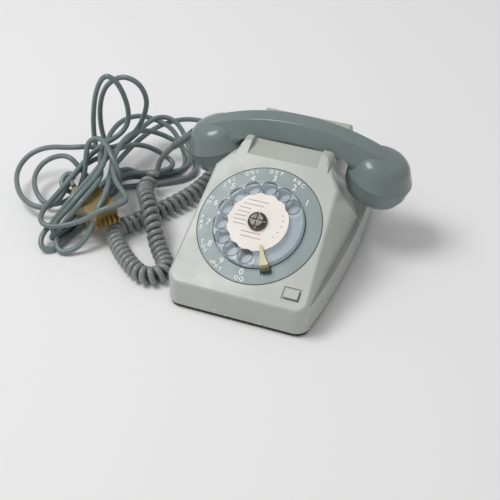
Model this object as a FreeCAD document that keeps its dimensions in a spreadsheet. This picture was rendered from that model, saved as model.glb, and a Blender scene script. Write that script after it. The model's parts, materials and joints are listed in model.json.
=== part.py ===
import FreeCAD, Part
import math
import os
import Sketcher

Vector = FreeCAD.Vector
Placement = FreeCAD.Placement
Rotation = FreeCAD.Rotation

DOC = FreeCAD.newDocument("rotary_telephone")
SHEET = DOC.addObject("Spreadsheet::Sheet", "Sizes")

# Driving sizes in millimetres, angles in degrees
SIZES = {
    # base and housing
    "base_width": 135.0,
    "base_depth": 198.0,
    "side_bow": 6.8,
    "plan_corner": 12.0,
    "foot_height": 1.0,
    "foot_radius": 7.0,
    "foot_inset": 16.0,
    "base_thickness": 3.0,
    "base_inset": 1.0,
    "rim_height": 3.0,
    "rim_thickness": 2.0,
    "plinth_top": 27.6,
    "face_front_height": 27.3,
    "wall": 3.0,
    "edge_round": 3.0,
    "screw_inset": 11.0,
    "screw_front_y": -45.0,
    "screw_rear_y": 70.0,
    "screw_radius": 1.5,
    "screw_head_radius": 3.2,
    "screw_head_height": 1.6,
    "screw_length": 16.0,
    "boss_radius": 5.0,
    "post_radius": 4.0,
    "standoff_radius": 3.0,
    "fit_gap": 0.05,
    "running_gap": 0.4,
    # side facets and scooped shoulders
    "facet_lead": 1.0,
    "ledge_rear": 5.0,
    "scoop_foot_setback": 60.0,
    "shoulder_along_face": 112.0,
    "shoulder_half": 55.0,
    "neck_along_face": 132.0,
    "neck_half": 41.0,
    # cradle
    "horn_top": 97.0,
    "horn_flat": 8.95,
    "horn_corner": 8.0,
    "horn_inner_half": 31.4,
    "horn_round": 4.0,
    "trough_floor": 86.7,
    "trough_half_floor": 17.6,
    "trough_half_mouth": 19.5,
    "cradle_setback": 47.5,
    "rear_horn_setback": 16.0,
    "rear_horn_top": 94.0,
    "rear_foot_setback": 6.0,
    "recess_along_face": 127.0,
    "lip_height": 93.0,
    # dial
    "dial_along_face": 65.6,
    "ring_outer": 53.0,
    "ring_inner": 39.4,
    "ring_proud": 0.5,
    "ring_bevel": 0.6,
    "dial_flange_lip": 1.6,
    "dial_flange_thickness": 2.2,
    "dial_drum": 38.4,
    "drum_top": 0.3,
    "wheel_radius": 38.0,
    "wheel_bottom": 2.0,
    "wheel_top": 6.4,
    "wheel_bevel": 0.3,
    "hole_circle": 31.2,
    "hole_radius": 6.2,
    "hole_pitch": 25.5,
    "first_hole": 39.4,
    "hole_count": 10,
    "card_radius": 26.0,
    "card_thickness": 0.4,
    "hub_radius": 8.2,
    "hub_height": 4.6,
    "hub_round": 3.4,
    "hub_stem": 5.0,
    "hub_slot": 1.6,
    "hub_slot_depth": 1.2,
    "shaft_radius": 3.0,
    "stop_angle": -64.0,
    "stop_root": 40.6,
    "stop_tip": 22.0,
    "stop_half_root": 3.8,
    "stop_half_waist": 1.9,
    "stop_half_tip": 0.8,
    "stop_top": 10.2,
    "stop_thickness": 1.6,
    "stop_slot": 3.0,
    # dial works
    "frame_depth": 22.0,
    "frame_radius": 36.0,
    "frame_thickness": 2.0,
    "pillar_radius": 2.5,
    "pillar_inset": 3.5,
    "gear_module": 0.8,
    "main_teeth": 60,
    "second_teeth": 48,
    "pinion_teeth": 12,
    "gear_thickness": 2.0,
    "arbor_radius": 1.5,
    "arbor_seat": 1.2,
    "shaft_overrun": 2.0,
    "governor_angle": 112.0,
    "governor_reach": 7.0,
    "governor_arm_width": 4.0,
    "governor_arm_thickness": 1.2,
    "governor_weight_radius": 2.1,
    "governor_weight_offset": 4.9,
    "governor_weight_height": 2.0,
    "return_spring_radius": 6.0,
    "return_spring_turns": 4,
    "spring_wire": 0.4,
    "contact_stack_x": 29.0,
    "contact_stack_width": 7.0,
    "contact_stack_length": 10.0,
    "contact_stack_height": 7.0,
    "contact_blade_width": 4.2,
    "contact_blade_length": 15.0,
    "contact_blade_thickness": 0.5,
    "first_blade_drop": 1.75,
    "second_blade_drop": 4.2,
    # push button
    "button_x": 45.3,
    "button_along_face": 14.0,
    "button_width": 12.2,
    "button_depth": 8.1,
    "button_proud": 1.8,
    "button_travel": 2.5,
    "button_well_width": 15.4,
    "button_well_depth": 11.4,
    "button_well_sink": 1.0,
    "button_length": 9.0,
    "button_flange_thickness": 1.5,
    "button_flange_lip": 1.2,
    "button_round": 0.5,
    "button_spring_radius": 3.0,
    "button_spring_turns": 3,
    "button_spring_room": 1.0,
    "switch_height": 4.0,
    "switch_leg": 1.8,
    # hook switch
    "plunger_x": 14.0,
    "plunger_radius": 3.5,
    "hook_bar_height": 74.0,
    "hook_bar_thickness": 3.0,
    "hook_spring_radius": 3.0,
    "hook_spring_turns": 2,
    "hook_switch_height": 6.0,
    "hook_switch_length": 20.0,
    "plunger_gap": 0.3,
    "plunger_round": 1.0,
    "bridge_height": 60.0,
    "bridge_width": 10.0,
    "bridge_thickness": 2.0,
    "bridge_side_gap": 2.0,
    # circuit board
    "board_width": 76.0,
    "board_length": 86.0,
    "board_setback": 128.0,
    "board_height": 10.0,
    "board_thickness": 1.6,
    "board_hole_inset": 4.0,
    "transformer_x": -18.0,
    "transformer_gap": 7.0,
    "transformer_length": 24.0,
    "transformer_depth": 20.0,
    "transformer_height": 18.0,
    "core_depth": 12.0,
    "winding_length": 14.4,
    "winding_margin": 3.6,
    "capacitor_x": 20.0,
    "capacitor_radius": 8.0,
    "capacitor_length": 26.0,
    "terminal_length": 40.0,
    "terminal_depth": 9.0,
    "terminal_height": 7.0,
    "terminal_count": 6,
    "terminal_well_width": 4.0,
    "terminal_well_depth": 5.4,
    "terminal_well_floor": 3.5,
    # ringer
    "bracket_thickness": 1.5,
    "gong_x": 18.0,
    "gong_setback": 29.0,
    "gong_radius": 15.5,
    "gong_wall": 1.4,
    "gong_rim": 24.0,
    "gong_depth": 11.5,
    "gong_crown_inset": 6.2,
    "gong_crown_inner_inset": 6.665,
    "gong_shoulder_inset": 1.24,
    "gong_shoulder_drop": 3.1,
    "gong_post_radius": 4.0,
    "gong_screw_length": 8.0,
    "clapper_setback": 59.0,
    "clapper_z": 27.0,
    "clapper_hub_height": 8.0,
    "clapper_pin_radius": 1.5,
    "clapper_thickness": 1.6,
    "striker_radius": 1.5,
    "ringer_coil_setback": 72.0,
    "ringer_coil_z": 16.5,
    "ringer_coil_radius": 9.0,
    "ringer_coil_length": 26.0,
    "ringer_winding_radius": 7.6,
    "ringer_cheek": 1.6,
    # handset
    "grip_top": 108.4,
    "grip_arc": 188.5,
    "grip_half_top": 8.0,
    "grip_half_wide": 15.5,
    "grip_wide_drop": 15.4,
    "grip_under": 87.0,
    "grip_flat_half": 46.0,
    "grip_fall": 8.0,
    "grip_depth": 34.0,
    "grip_span": 58.0,
    "grip_round": 2.0,
    "handset_x": 1.0,
    "cup_overhang": 7.5,
    "cup_z": 68.8,
    "cup_tilt": 16.0,
    "cup_radius": 29.4,
    "cup_cone_top_radius": 21.3,
    "cup_cone_height": 16.5,
    "cup_height": 22.0,
    "cup_bore": 25.5,
    "under_seam_reach": 14.7,
    "cup_wall": 2.5,
    "cup_roof": 5.0,
    "cup_roof_radius": 11.0,
    "cup_shoulder_round": 15.3,
    "cup_shoulder_spread": 3.5,
    "cap_depth": 19.0,
    "cap_face_radius": 25.0,
    "cap_face_bevel": 1.2,
    "cap_taper": 1.0,
    "cap_shoulder": 8.0,
    "cap_floor": 2.0,
    "cap_ledge": 2.5,
    "cap_collar": 3.0,
    "cap_collar_wall": 1.9,
    "capsule_room": 2.7,
    "capsule_height": 14.0,
    "capsule_taper": 6.96,
    "capsule_taper_height": 2.0,
    "sound_hole_count": 8,
    "sound_hole_circle": 8.0,
    "sound_hole_radius": 1.6,
    # cord exits
    "line_exit_x": -15.0,
    "handset_exit_x": -41.0,
    "cord_exit_z": 12.0,
    "gland_radius": 4.9,
    "gland_flange": 6.5,
    "gland_lip": 2.5,
    "gland_length": 16.0,
    "cord_diameter": 5.0,
    "cord_grip_wall": 1.0,
    "gland_tail": 1.0,
    "coil_diameter": 15.5,
    # handset cord sleeve
    "sleeve_reach": 24.5,
    "sleeve_z": 71.8,
    "sleeve_angle": 134.0,
    "sleeve_radius": 4.0,
    "sleeve_end_radius": 3.3,
    "sleeve_sink": 4.0,
    "sleeve_length": 30.0,
    # line plug
    "plug_x": -164.5,
    "plug_y": -27.5,
    "plug_z": 25.1,
    "plug_turn": -33.9,
    "plug_length": 46.0,
    "plug_width": 28.0,
    "plug_height": 17.8,
    "plug_split": 2.0,
    "plug_bevel": 4.0,
    "plug_neck_width": 16.8,
    "plug_taper_length": 6.0,
    "plug_boot_drop": 3.56,
    "plug_round": 2.0,
    "plug_margin": 0.6,
    "contact_count": 5,
    "contact_step": 4.6,
    "contact_length": 7.0,
    "contact_thickness": 1.2,
    "contact_height": 6.0,
    "boot_radius": 5.0,
    "boot_length": 14.0,
}


# How far a cut runs past the face that it opens
OVERRUN = 1
# Cosine above which an edge counts as lying along an axis
ALONG = 0.9
# Slack when picking edges by place
NEAR = 0.1


class Dim:
    """A size that knows its number and the sheet formula it comes from."""

    def __init__(self, value, text):
        self.value = value
        self.text = text

    def joined(self, other, sign, value):
        return Dim(value, "(%s %s %s)" % (self.text, sign, other.text))

    def __add__(self, other):
        other = dim(other)
        return self.joined(other, "+", self.value + other.value)

    def __sub__(self, other):
        other = dim(other)
        return self.joined(other, "-", self.value - other.value)

    def __mul__(self, other):
        other = dim(other)
        return self.joined(other, "*", self.value * other.value)

    def __truediv__(self, other):
        other = dim(other)
        return self.joined(other, "/", self.value / other.value)

    def __radd__(self, other):
        return dim(other) + self

    def __rsub__(self, other):
        return dim(other) - self

    def __rmul__(self, other):
        return dim(other) * self

    def __neg__(self):
        return Dim(-self.value, "(0 - %s)" % self.text)


def dim(number):
    return number if isinstance(number, Dim) else Dim(float(number), repr(float(number)))


def size(name):
    return Dim(float(SHEET.get(name)), "Sizes.%s" % name)


def cosine(angle):
    return Dim(math.cos(math.radians(angle.value)), "cos(%s * 1 deg)" % angle.text)


def sine(angle):
    return Dim(math.sin(math.radians(angle.value)), "sin(%s * 1 deg)" % angle.text)


def square_root(amount):
    return Dim(math.sqrt(amount.value), "sqrt(%s)" % amount.text)


def arc_tangent(rise, run):
    degrees = math.degrees(math.atan(rise.value / run.value))
    return Dim(degrees, "(atan(%s / %s) / 1 deg)" % (rise.text, run.text))


def fill_sheet():
    for row, (name, number) in enumerate(SIZES.items(), start=1):
        SHEET.set("A%d" % row, name)
        SHEET.set("B%d" % row, str(number))
        SHEET.setAlias("B%d" % row, name)
    DOC.recompute()


def bind(target, name, amount):
    target.setExpression(name, dim(amount).text)


# Sketches
def pin(sketch, geometry, corner, point):
    for kind, amount in zip(("DistanceX", "DistanceY"), point):
        amount = dim(amount)
        index = sketch.addConstraint(Sketcher.Constraint(kind, -1, 1, geometry, corner, amount.value))
        bind(sketch, "Constraints[%d]" % index, amount)


def flat(point):
    return Vector(dim(point[0]).value, dim(point[1]).value, 0)


def bulge(start, end, radius):
    """An arc of the given radius that runs anticlockwise from start to end."""
    chord = end - start
    across_chord = Vector(-chord.y, chord.x, 0)
    across_chord.normalize()
    sag = radius - math.sqrt(radius * radius - chord.Length ** 2 / 4)
    return Part.Arc(start, (start + end) * 0.5 - across_chord * sag, end)


def draw_outline(sketch, points, arcs=None):
    """A closed outline through the given corners, straight but for the sides that arcs gives a radius."""
    arcs = arcs or {}
    first = sketch.GeometryCount
    count = len(points)
    for index in range(count):
        start = flat(points[index])
        end = flat(points[(index + 1) % count])
        side = bulge(start, end, arcs[index].value) if index in arcs else Part.LineSegment(start, end)
        sketch.addGeometry(side)
    for index in range(count):
        following = first + (index + 1) % count
        sketch.addConstraint(Sketcher.Constraint("Coincident", first + index, 2, following, 1))
        pin(sketch, first + index, 1, points[index])
    for index, radius in arcs.items():
        row = sketch.addConstraint(Sketcher.Constraint("Radius", first + index, radius.value))
        bind(sketch, "Constraints[%d]" % row, radius)


def draw_circle(sketch, centre, radius):
    radius = dim(radius)
    index = sketch.addGeometry(Part.Circle(flat(centre), Vector(0, 0, 1), radius.value))
    pin(sketch, index, 3, centre)
    row = sketch.addConstraint(Sketcher.Constraint("Radius", index, radius.value))
    bind(sketch, "Constraints[%d]" % row, radius)


def rectangle(centre, width, depth):
    x, y = centre
    half_x = dim(width) / 2
    half_y = dim(depth) / 2
    return [(x - half_x, y - half_y), (x + half_x, y - half_y), (x + half_x, y + half_y),
            (x - half_x, y + half_y)]


# Bodies and their features
def new_body(label, place=None):
    body = DOC.addObject("PartDesign::Body", label)
    body.Label = label
    body.Placement = place or Placement()
    return body


def new_sketch(body, role="XY_Plane", offset=0):
    sketch = body.newObject("Sketcher::SketchObject", "Sketch")
    plane = next(item for item in body.Origin.OriginFeatures if item.Role == role)
    sketch.AttachmentSupport = (plane, "")
    sketch.MapMode = "FlatFace"
    bind(sketch, "AttachmentOffset.Base.z", offset)
    return sketch


def feature(body, kind, sketch, length=None, both_ways=False):
    item = body.newObject("PartDesign::" + kind, kind)
    item.Profile = sketch
    if length is not None:
        bind(item, "Length", length)
    if both_ways:
        item.SideType = "Symmetric"
    body.Tip = item
    return item


def slab(body, points, low, high, arcs=None):
    sketch = new_sketch(body, offset=low)
    draw_outline(sketch, points, arcs)
    return feature(body, "Pad", sketch, dim(high) - low)


def disc(body, centre, radius, low, high):
    sketch = new_sketch(body, offset=low)
    draw_circle(sketch, centre, radius)
    return feature(body, "Pad", sketch, dim(high) - low)


def cut_slab(body, points, low, high, arcs=None):
    sketch = new_sketch(body, offset=high)
    draw_outline(sketch, points, arcs)
    return feature(body, "Pocket", sketch, dim(high) - low)


def cut_disc(body, centre, radius, low, high):
    sketch = new_sketch(body, offset=high)
    draw_circle(sketch, centre, radius)
    return feature(body, "Pocket", sketch, dim(high) - low)


def cut_discs(body, centres, radius, low, high):
    sketch = new_sketch(body, offset=high)
    for centre in centres:
        draw_circle(sketch, centre, radius)
    return feature(body, "Pocket", sketch, dim(high) - low)


def turn(body, points, arcs=None):
    """A solid of revolution about the body's Z axis from (radius, height) points."""
    sketch = new_sketch(body, "XZ_Plane")
    draw_outline(sketch, points, arcs)
    item = feature(body, "Revolution", sketch)
    item.ReferenceAxis = (sketch, ["V_Axis"])
    item.Angle = 360
    return item


def across(body, role, points, width, arcs=None):
    """A pad of an upright outline, the same distance to both sides of its plane."""
    sketch = new_sketch(body, role)
    draw_outline(sketch, points, arcs)
    return feature(body, "Pad", sketch, width, both_ways=True)


def round_edges(body, item, radius, wanted):
    """Rounds the edges of a body's feature for which wanted(edge) holds."""
    DOC.recompute()
    names = ["Edge%d" % (i + 1) for i, edge in enumerate(item.Shape.Edges) if wanted(edge)]
    rounding = body.newObject("PartDesign::Fillet", "Fillet")
    rounding.Base = (item, names)
    bind(rounding, "Radius", radius)
    body.Tip = rounding
    return rounding


# Whole solids and booleans
def combine(kind, label, base, *tools):
    if kind == "Cut":
        for tool in tools[:-1]:
            step = DOC.addObject("Part::Cut", label + "_step")
            step.Base = base
            step.Tool = tool
            base = step
        item = DOC.addObject("Part::Cut", label)
        item.Base = base
        item.Tool = tools[-1]
    else:
        item = DOC.addObject("Part::Multi" + kind, label)
        item.Shapes = [base] + list(tools)
    item.Refine = True
    item.Label = label
    return item


def group(label, members):
    item = DOC.addObject("Part::Compound", label)
    item.Links = members
    item.Label = label
    return item


def cylinder(label, radius, height, place):
    item = DOC.addObject("Part::Cylinder", label)
    bind(item, "Radius", radius)
    bind(item, "Height", height)
    item.Placement = place
    return item


def at(x, y, z):
    return Placement(Vector(dim(x).value, dim(y).value, dim(z).value), Rotation())


# Frames of the sloping face, the dial and the handset
def from_back(name):
    """A place in Y that a size sets from the back of the base."""
    return size("base_depth") / 2 - size(name)


def cradle_y():
    return from_back("cradle_setback")


def crest_y():
    """Where the sloping face ends at the top of the front horns."""
    return cradle_y() - size("trough_half_mouth") - size("horn_flat")


def face_slope():
    """The face's slope in degrees, from the front edge up to the crest of the horns."""
    return arc_tangent(size("horn_top") - size("face_front_height"), crest_y() + size("base_depth") / 2)


def face_at(along, height=0):
    """Y and Z of a point of the sloping face, some way up the slope and above it."""
    slope = face_slope()
    y = -size("base_depth") / 2 + dim(along) * cosine(slope) - dim(height) * sine(slope)
    z = size("face_front_height") + dim(along) * sine(slope) + dim(height) * cosine(slope)
    return y, z


def face_frame(along, x=0):
    y, z = face_at(along)
    turned = Rotation(Vector(1, 0, 0), face_slope().value)
    return Placement(Vector(dim(x).value, y.value, z.value), turned)


def dial_frame():
    return face_frame(size("dial_along_face"))


def cup_x():
    """Half the distance between the handset's cups, which hang beside the base."""
    return size("base_width") / 2 + size("cup_overhang")


def cup_frame(side):
    place = Vector((size("handset_x") + side * cup_x()).value, cradle_y().value, size("cup_z").value)
    return Placement(place, Rotation(Vector(0, 1, 0), side * size("cup_tilt").value))


def shell_bottom():
    return size("foot_height") + size("base_thickness")


# Housing
def cutter_block(label, place, reach):
    block = DOC.addObject("Part::Box", label)
    for name in ("Length", "Width", "Height"):
        bind(block, name, reach)
    block.Placement = place
    return block


def half_space(label, corners, outward, sink):
    """A large block on the outer side of the plane through three corners, moved inwards by sink."""
    reach = 2 * (size("base_width") + size("base_depth"))
    normal = (corners[1] - corners[0]).cross(corners[2] - corners[0])
    normal.normalize()
    if normal.dot(outward) < 0:
        normal = -normal
    turned = Rotation(Vector(0, 0, 1), normal)
    middle = turned.multVec(Vector(reach.value / 2, reach.value / 2, 0))
    return cutter_block(label, Placement(corners[0] - normal * sink.value - middle, turned), reach)


def above(label, height):
    reach = 2 * (size("base_width") + size("base_depth"))
    half = reach.value / 2
    return cutter_block(label, Placement(Vector(-half, -half, height.value), Rotation()), reach)


def side_corners(side):
    """The corners that set the side facet, the shoulder and the neck on one side."""
    y, z = face_at(size("shoulder_along_face"))
    shoulder = Vector(side * size("shoulder_half").value, y.value, z.value)
    plinth = size("plinth_top").value
    half = size("base_width").value / 2
    front_half = half - size("side_bow").value + size("facet_lead").value
    front = Vector(side * front_half, -size("base_depth").value / 2, plinth)
    rear = Vector(side * (half - size("ledge_rear").value), from_back("scoop_foot_setback").value, plinth)
    y, z = face_at(size("neck_along_face"))
    neck = Vector(side * size("neck_half").value, y.value, z.value)
    return front, rear, shoulder, neck


def bowed_plan(inset):
    """Corners and side arcs of the base's plan, drawn in by inset: straight ends and bowed sides."""
    bow = size("side_bow")
    half_width = size("base_width") / 2 - bow - inset
    half_depth = size("base_depth") / 2 - inset
    radius = (half_depth * half_depth + bow * bow) / (2 * bow)
    corners = [(-half_width, -half_depth), (half_width, -half_depth), (half_width, half_depth),
               (-half_width, half_depth)]
    return corners, {1: radius, 3: radius}


def is_upright(edge):
    return abs(edge.tangentAt(0).z) > ALONG


def plan_block(label, inset, low, high):
    body = new_body(label)
    corners, sides = bowed_plan(inset)
    block = slab(body, corners, low, high, sides)
    round_edges(body, block, size("plan_corner") - inset, is_upright)
    return body


def outer_profile():
    """The side view of the housing: front wall, sloping face, horns, cradle trough and back."""
    back = size("base_depth") / 2
    top = size("horn_top")
    middle = cradle_y()
    return [
        (-back, shell_bottom()),
        (-back, size("face_front_height")),
        (crest_y(), top),
        (middle - size("trough_half_mouth"), top),
        (middle - size("trough_half_floor"), size("trough_floor")),
        (middle + size("trough_half_floor"), size("trough_floor")),
        (middle + size("trough_half_mouth"), size("rear_horn_top")),
        (from_back("rear_horn_setback"), size("rear_horn_top")),
        (from_back("rear_foot_setback"), size("plinth_top")),
        (back, size("plinth_top")),
        (back, shell_bottom()),
    ]


def inner_profile():
    """The side view of the hollow, one wall inside the outer profile and open at the bottom."""
    wall = size("wall")
    front = wall - size("base_depth") / 2
    back = size("base_depth") / 2 - wall
    slope = face_slope()
    roof = size("trough_floor") - wall
    low = shell_bottom() - wall
    face_front = size("face_front_height") + wall * sine(slope) / cosine(slope) - wall / cosine(slope)
    _, recess = face_at(size("recess_along_face"))
    high_roof = recess - wall
    high_front = front + (high_roof - face_front) * cosine(slope) / sine(slope)
    step = cradle_y() - size("trough_half_floor") - 2 * wall
    rise = size("rear_horn_top") - size("plinth_top")
    lean = (size("rear_horn_setback") - size("rear_foot_setback")) / rise
    roof_back = from_back("rear_horn_setback") + lean * (size("rear_horn_top") - roof) - wall
    ledge = size("plinth_top") - wall
    return [
        (front, low),
        (front, face_front),
        (high_front, high_roof),
        (step, high_roof),
        (step, roof),
        (roof_back, roof),
        (roof_back + lean * (roof - ledge), ledge),
        (back, ledge),
        (back, low),
    ]


def profile_block(label, points, rounding=None):
    body = new_body(label)
    item = across(body, "YZ_Plane", points, 2 * size("base_width"))
    if rounding is not None:
        level = size("trough_floor").value - 1
        round_edges(body, item, rounding,
                    lambda edge: abs(edge.tangentAt(0).x) > ALONG and edge.CenterOfMass.z > level)
    return body


def housing_form(label, inset, low, profile):
    """The housing's faceted form, or its hollow when inset by the wall."""
    plan = plan_block(label + "_plan", inset, low, 2 * size("horn_top"))
    tools = []
    top = above(label + "_upper", size("plinth_top") - inset)
    for side, name in ((1, "right"), (-1, "left")):
        front, rear, shoulder, neck = side_corners(side)
        out = Vector(side, 0, 0)
        facet = half_space("%s_facet_%s" % (label, name), (front, rear, shoulder), out, inset)
        tools.append(combine("Common", "%s_facet_cut_%s" % (label, name), facet, top))
        scoop = half_space("%s_scoop_%s" % (label, name), (rear, shoulder, neck), out, inset)
        upright = (neck, neck + Vector(0, 1, 0), neck + Vector(0, 0, 1))
        beside = half_space("%s_beside_%s" % (label, name), upright, out, inset)
        tools.append(combine("Common", "%s_scoop_cut_%s" % (label, name), scoop, beside, top))
    base = combine("Common", label + "_base", plan, profile)
    return combine("Cut", label, base, *tools)


def horn_corners():
    """What is taken off the outer top corners of the horns."""
    top = size("horn_top")
    radius = size("horn_corner")
    out = size("neck_half")
    tools = []
    for side, name in ((1, "right"), (-1, "left")):
        body = new_body("horn_corner_" + name)
        crown = (side * (out - radius), top)
        flank = (side * out, top - radius)
        start, end = (flank, crown) if side > 0 else (crown, flank)
        beyond = [(side * 2 * out, top - radius), (side * 2 * out, 2 * top), (side * (out - radius), 2 * top)]
        rest = beyond[::-1] if side > 0 else beyond
        across(body, "XZ_Plane", [start, end] + rest, 2 * size("base_depth"), {0: radius})
        tools.append(body)
    return tools


def is_flat(face, normal):
    if not isinstance(face.Surface, Part.Plane):
        return False
    return abs(abs(face.normalAt(0, 0).dot(normal)) - 1) < 1e-4


def shared_edges(shape, first, second):
    """Numbers of the edges where a face of the first kind meets one of the second."""
    numbers = []
    for number, edge in enumerate(shape.Edges, start=1):
        faces = [face for face in shape.Faces if any(edge.isSame(other) for other in face.Edges)]
        if len(faces) != 2:
            continue
        a, b = faces
        if (first(a) and second(b)) or (first(b) and second(a)):
            numbers.append(number)
    return numbers


def plane_normal(corners):
    normal = (corners[1] - corners[0]).cross(corners[2] - corners[0])
    normal.normalize()
    return normal


def round_housing(form):
    """Soft edges round the face, down the side facets and along the horns."""
    shape = form.Shape
    slope = math.radians(face_slope().value)
    sloping = Vector(0, -math.sin(slope), math.cos(slope))
    facets = []
    scoops = []
    for side in (1, -1):
        front, rear, shoulder, neck = side_corners(side)
        facets.append(plane_normal((front, rear, shoulder)))
        scoops.append(plane_normal((rear, shoulder, neck)))
    neck_half = size("neck_half").value

    def is_face(face):
        return is_flat(face, sloping)

    def is_front(face):
        bent = isinstance(face.Surface, Part.Cylinder) and abs(face.Surface.Axis.z) > ALONG
        corner = bent and face.Surface.Radius < 2 * size("plan_corner").value
        return face.CenterOfMass.y < 0 and (corner or is_flat(face, Vector(0, 1, 0)))

    def is_facet(face):
        return any(is_flat(face, normal) for normal in facets)

    def is_scoop(face):
        return any(is_flat(face, normal) for normal in scoops)

    def is_neck(face):
        return is_flat(face, Vector(1, 0, 0)) and abs(abs(face.CenterOfMass.x) - neck_half) < 1e-3

    pairs = ((is_face, is_front), (is_face, is_facet), (is_face, is_scoop), (is_facet, is_scoop),
             (is_scoop, is_neck), (is_face, is_neck))
    radius = size("edge_round").value
    numbers = sorted({number for first, second in pairs for number in shared_edges(shape, first, second)})
    rounded = DOC.addObject("Part::Fillet", "rounded_housing")
    rounded.Base = form
    rounded.Edges = [(number, radius, radius) for number in numbers]
    return rounded


def cradle_recess():
    """The finger recess between the front horns, carried on between the rear ones."""
    body = new_body("cradle_recess")
    start = face_at(size("recess_along_face"))
    lip = size("lip_height")
    beyond = size("base_depth")
    share = (size("trough_floor") - lip) / (size("trough_floor") - size("horn_top"))
    wall_run = size("trough_half_mouth") - size("trough_half_floor")
    lip_y = cradle_y() - size("trough_half_floor") - wall_run * share
    points = [start, (lip_y, lip), (beyond, lip), (beyond, 2 * size("horn_top")),
              (start[0], 2 * size("horn_top"))]
    across(body, "YZ_Plane", points, 2 * size("horn_inner_half"))
    return body


def screw_places():
    x = size("base_width") / 2 - size("screw_inset")
    return [(side * x, size(name)) for name in ("screw_front_y", "screw_rear_y") for side in (1, -1)]


def boss_bottom():
    return shell_bottom() + size("rim_height")


def button_opening():
    """The stepped opening of the push button in the sloping face."""
    body = new_body("button_opening", face_frame(size("button_along_face"), size("button_x")))
    gap = 2 * size("running_gap")
    through = rectangle((0, 0), size("button_width") + gap, size("button_depth") + gap)
    slab(body, through, -2 * size("wall"), size("wall"))
    well = rectangle((0, 0), size("button_well_width"), size("button_well_depth"))
    slab(body, well, -size("button_well_sink"), size("wall"))
    return body


def cord_exits():
    return [("line", size("line_exit_x")), ("handset", size("handset_exit_x"))]


def backwards(x, y, z):
    """A frame whose Z axis points to the back of the telephone."""
    place = Vector(dim(x).value, dim(y).value, dim(z).value)
    return Placement(place, Rotation(Vector(1, 0, 0), -90))


def housing():
    whole = profile_block("outer_profile", outer_profile(), size("horn_round"))
    outer = housing_form("outer", dim(0), shell_bottom(), whole)
    DOC.recompute()
    rounded = round_housing(outer)
    hollow_side = profile_block("hollow_profile", inner_profile())
    hollow = housing_form("hollow", size("wall"), shell_bottom() - size("wall"), hollow_side)
    shell = combine("Cut", "hollow_shell", rounded, hollow)
    bosses = []
    cuts = [cradle_recess(), button_opening()] + horn_corners()
    boss_height = size("plinth_top") - size("wall") / 2 - boss_bottom()
    for number, (x, y) in enumerate(screw_places()):
        bosses.append(cylinder("boss_%d" % number, size("boss_radius"), boss_height, at(x, y, boss_bottom())))
        bore = size("screw_radius") + size("fit_gap")
        cuts.append(cylinder("boss_bore_%d" % number, bore, size("screw_length"), at(x, y, shell_bottom())))
    wall = size("wall")
    opening = dial_frame().multiply(at(0, 0, -2 * wall))
    cuts.append(cylinder("dial_opening", size("ring_outer") + size("running_gap"), 3 * wall, opening))
    for side, name in ((1, "right"), (-1, "left")):
        place = at(side * size("plunger_x"), cradle_y(), size("trough_floor") - 2 * wall)
        cuts.append(cylinder("plunger_hole_" + name, size("plunger_radius") + size("running_gap"),
                             3 * wall, place))
    for name, x in cord_exits():
        place = backwards(x, size("base_depth") / 2 - 2 * wall, size("cord_exit_z"))
        cuts.append(cylinder("cord_hole_" + name, size("gland_radius") + size("fit_gap"), 3 * wall, place))
    bossed = combine("Fuse", "bossed_shell", shell, *bosses)
    return combine("Cut", "housing", bossed, *cuts)


# Base
def base_plate():
    """A plate with a rim that locates the housing, posts for its screws and standoffs for the board."""
    body = new_body("base_plate")
    low = size("foot_height")
    top = shell_bottom()
    inside = size("wall") + size("running_gap")
    corners, sides = bowed_plan(inside)
    rim = slab(body, corners, low, top + size("rim_height"), sides)
    round_edges(body, rim, size("plan_corner") - inside, is_upright)
    inset = size("base_inset")
    corners, sides = bowed_plan(inset)
    plate = slab(body, corners, low, top, sides)
    far = corners[1][0].value - NEAR
    round_edges(body, plate, size("plan_corner") - inset,
                lambda edge: is_upright(edge) and abs(edge.CenterOfMass.x) > far)
    corners, sides = bowed_plan(inside + size("rim_thickness"))
    cut_slab(body, corners, top, top + size("rim_height"), sides)
    for place in screw_places():
        disc(body, place, size("post_radius"), size("foot_height"), boss_bottom())
    for place in board_holes():
        disc(body, place, size("standoff_radius"), size("foot_height"), size("board_height"))
    bore = size("screw_radius") + size("fit_gap")
    cut_discs(body, screw_places(), bore, 0, boss_bottom() + OVERRUN)
    head = size("screw_head_radius") + size("fit_gap")
    cut_discs(body, screw_places(), head, 0, size("foot_height") + size("screw_head_height"))
    return body


def rubber_feet():
    feet = []
    for side_x in (1, -1):
        for side_y in (1, -1):
            x = side_x * (size("base_width") / 2 - size("foot_inset"))
            y = side_y * (size("base_depth") / 2 - size("foot_inset"))
            label = "foot_%d" % len(feet)
            feet.append(cylinder(label, size("foot_radius"), size("foot_height"), at(x, y, 0)))
    return group("rubber_feet", feet)


def screw(label, place, radius, length, head_radius, head_height):
    body = new_body(label, place)
    turn(body, [(0, 0), (head_radius, 0), (head_radius, head_height), (radius, head_height),
                (radius, length), (0, length)])
    return body


def base_screws():
    screws = []
    for number, (x, y) in enumerate(screw_places()):
        place = at(x, y, size("foot_height"))
        screws.append(screw("base_screw_%d" % number, place, size("screw_radius"), size("screw_length"),
                            size("screw_head_radius"), size("screw_head_height")))
    return group("base_screws", screws)


# Dial
def polar(angle, out, sideways=0):
    """A point some way out along an angle and some way to its left."""
    return (out * cosine(angle) - sideways * sine(angle), out * sine(angle) + sideways * cosine(angle))


def dial_plate():
    body = new_body("dial_plate", dial_frame())
    bore = size("shaft_radius") + size("fit_gap")
    seat = -size("wall")
    bottom = seat - size("dial_flange_thickness")
    flange = size("ring_outer") + size("dial_flange_lip")
    turn(body, [(bore, bottom), (flange, bottom), (flange, seat),
                (size("dial_drum"), seat), (size("dial_drum"), size("drum_top")), (bore, size("drum_top"))])
    for angle, out in arbors():
        cut_disc(body, polar(angle, out), size("arbor_radius") + size("fit_gap"), bottom,
                 bottom + size("arbor_seat"))
    return body


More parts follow.
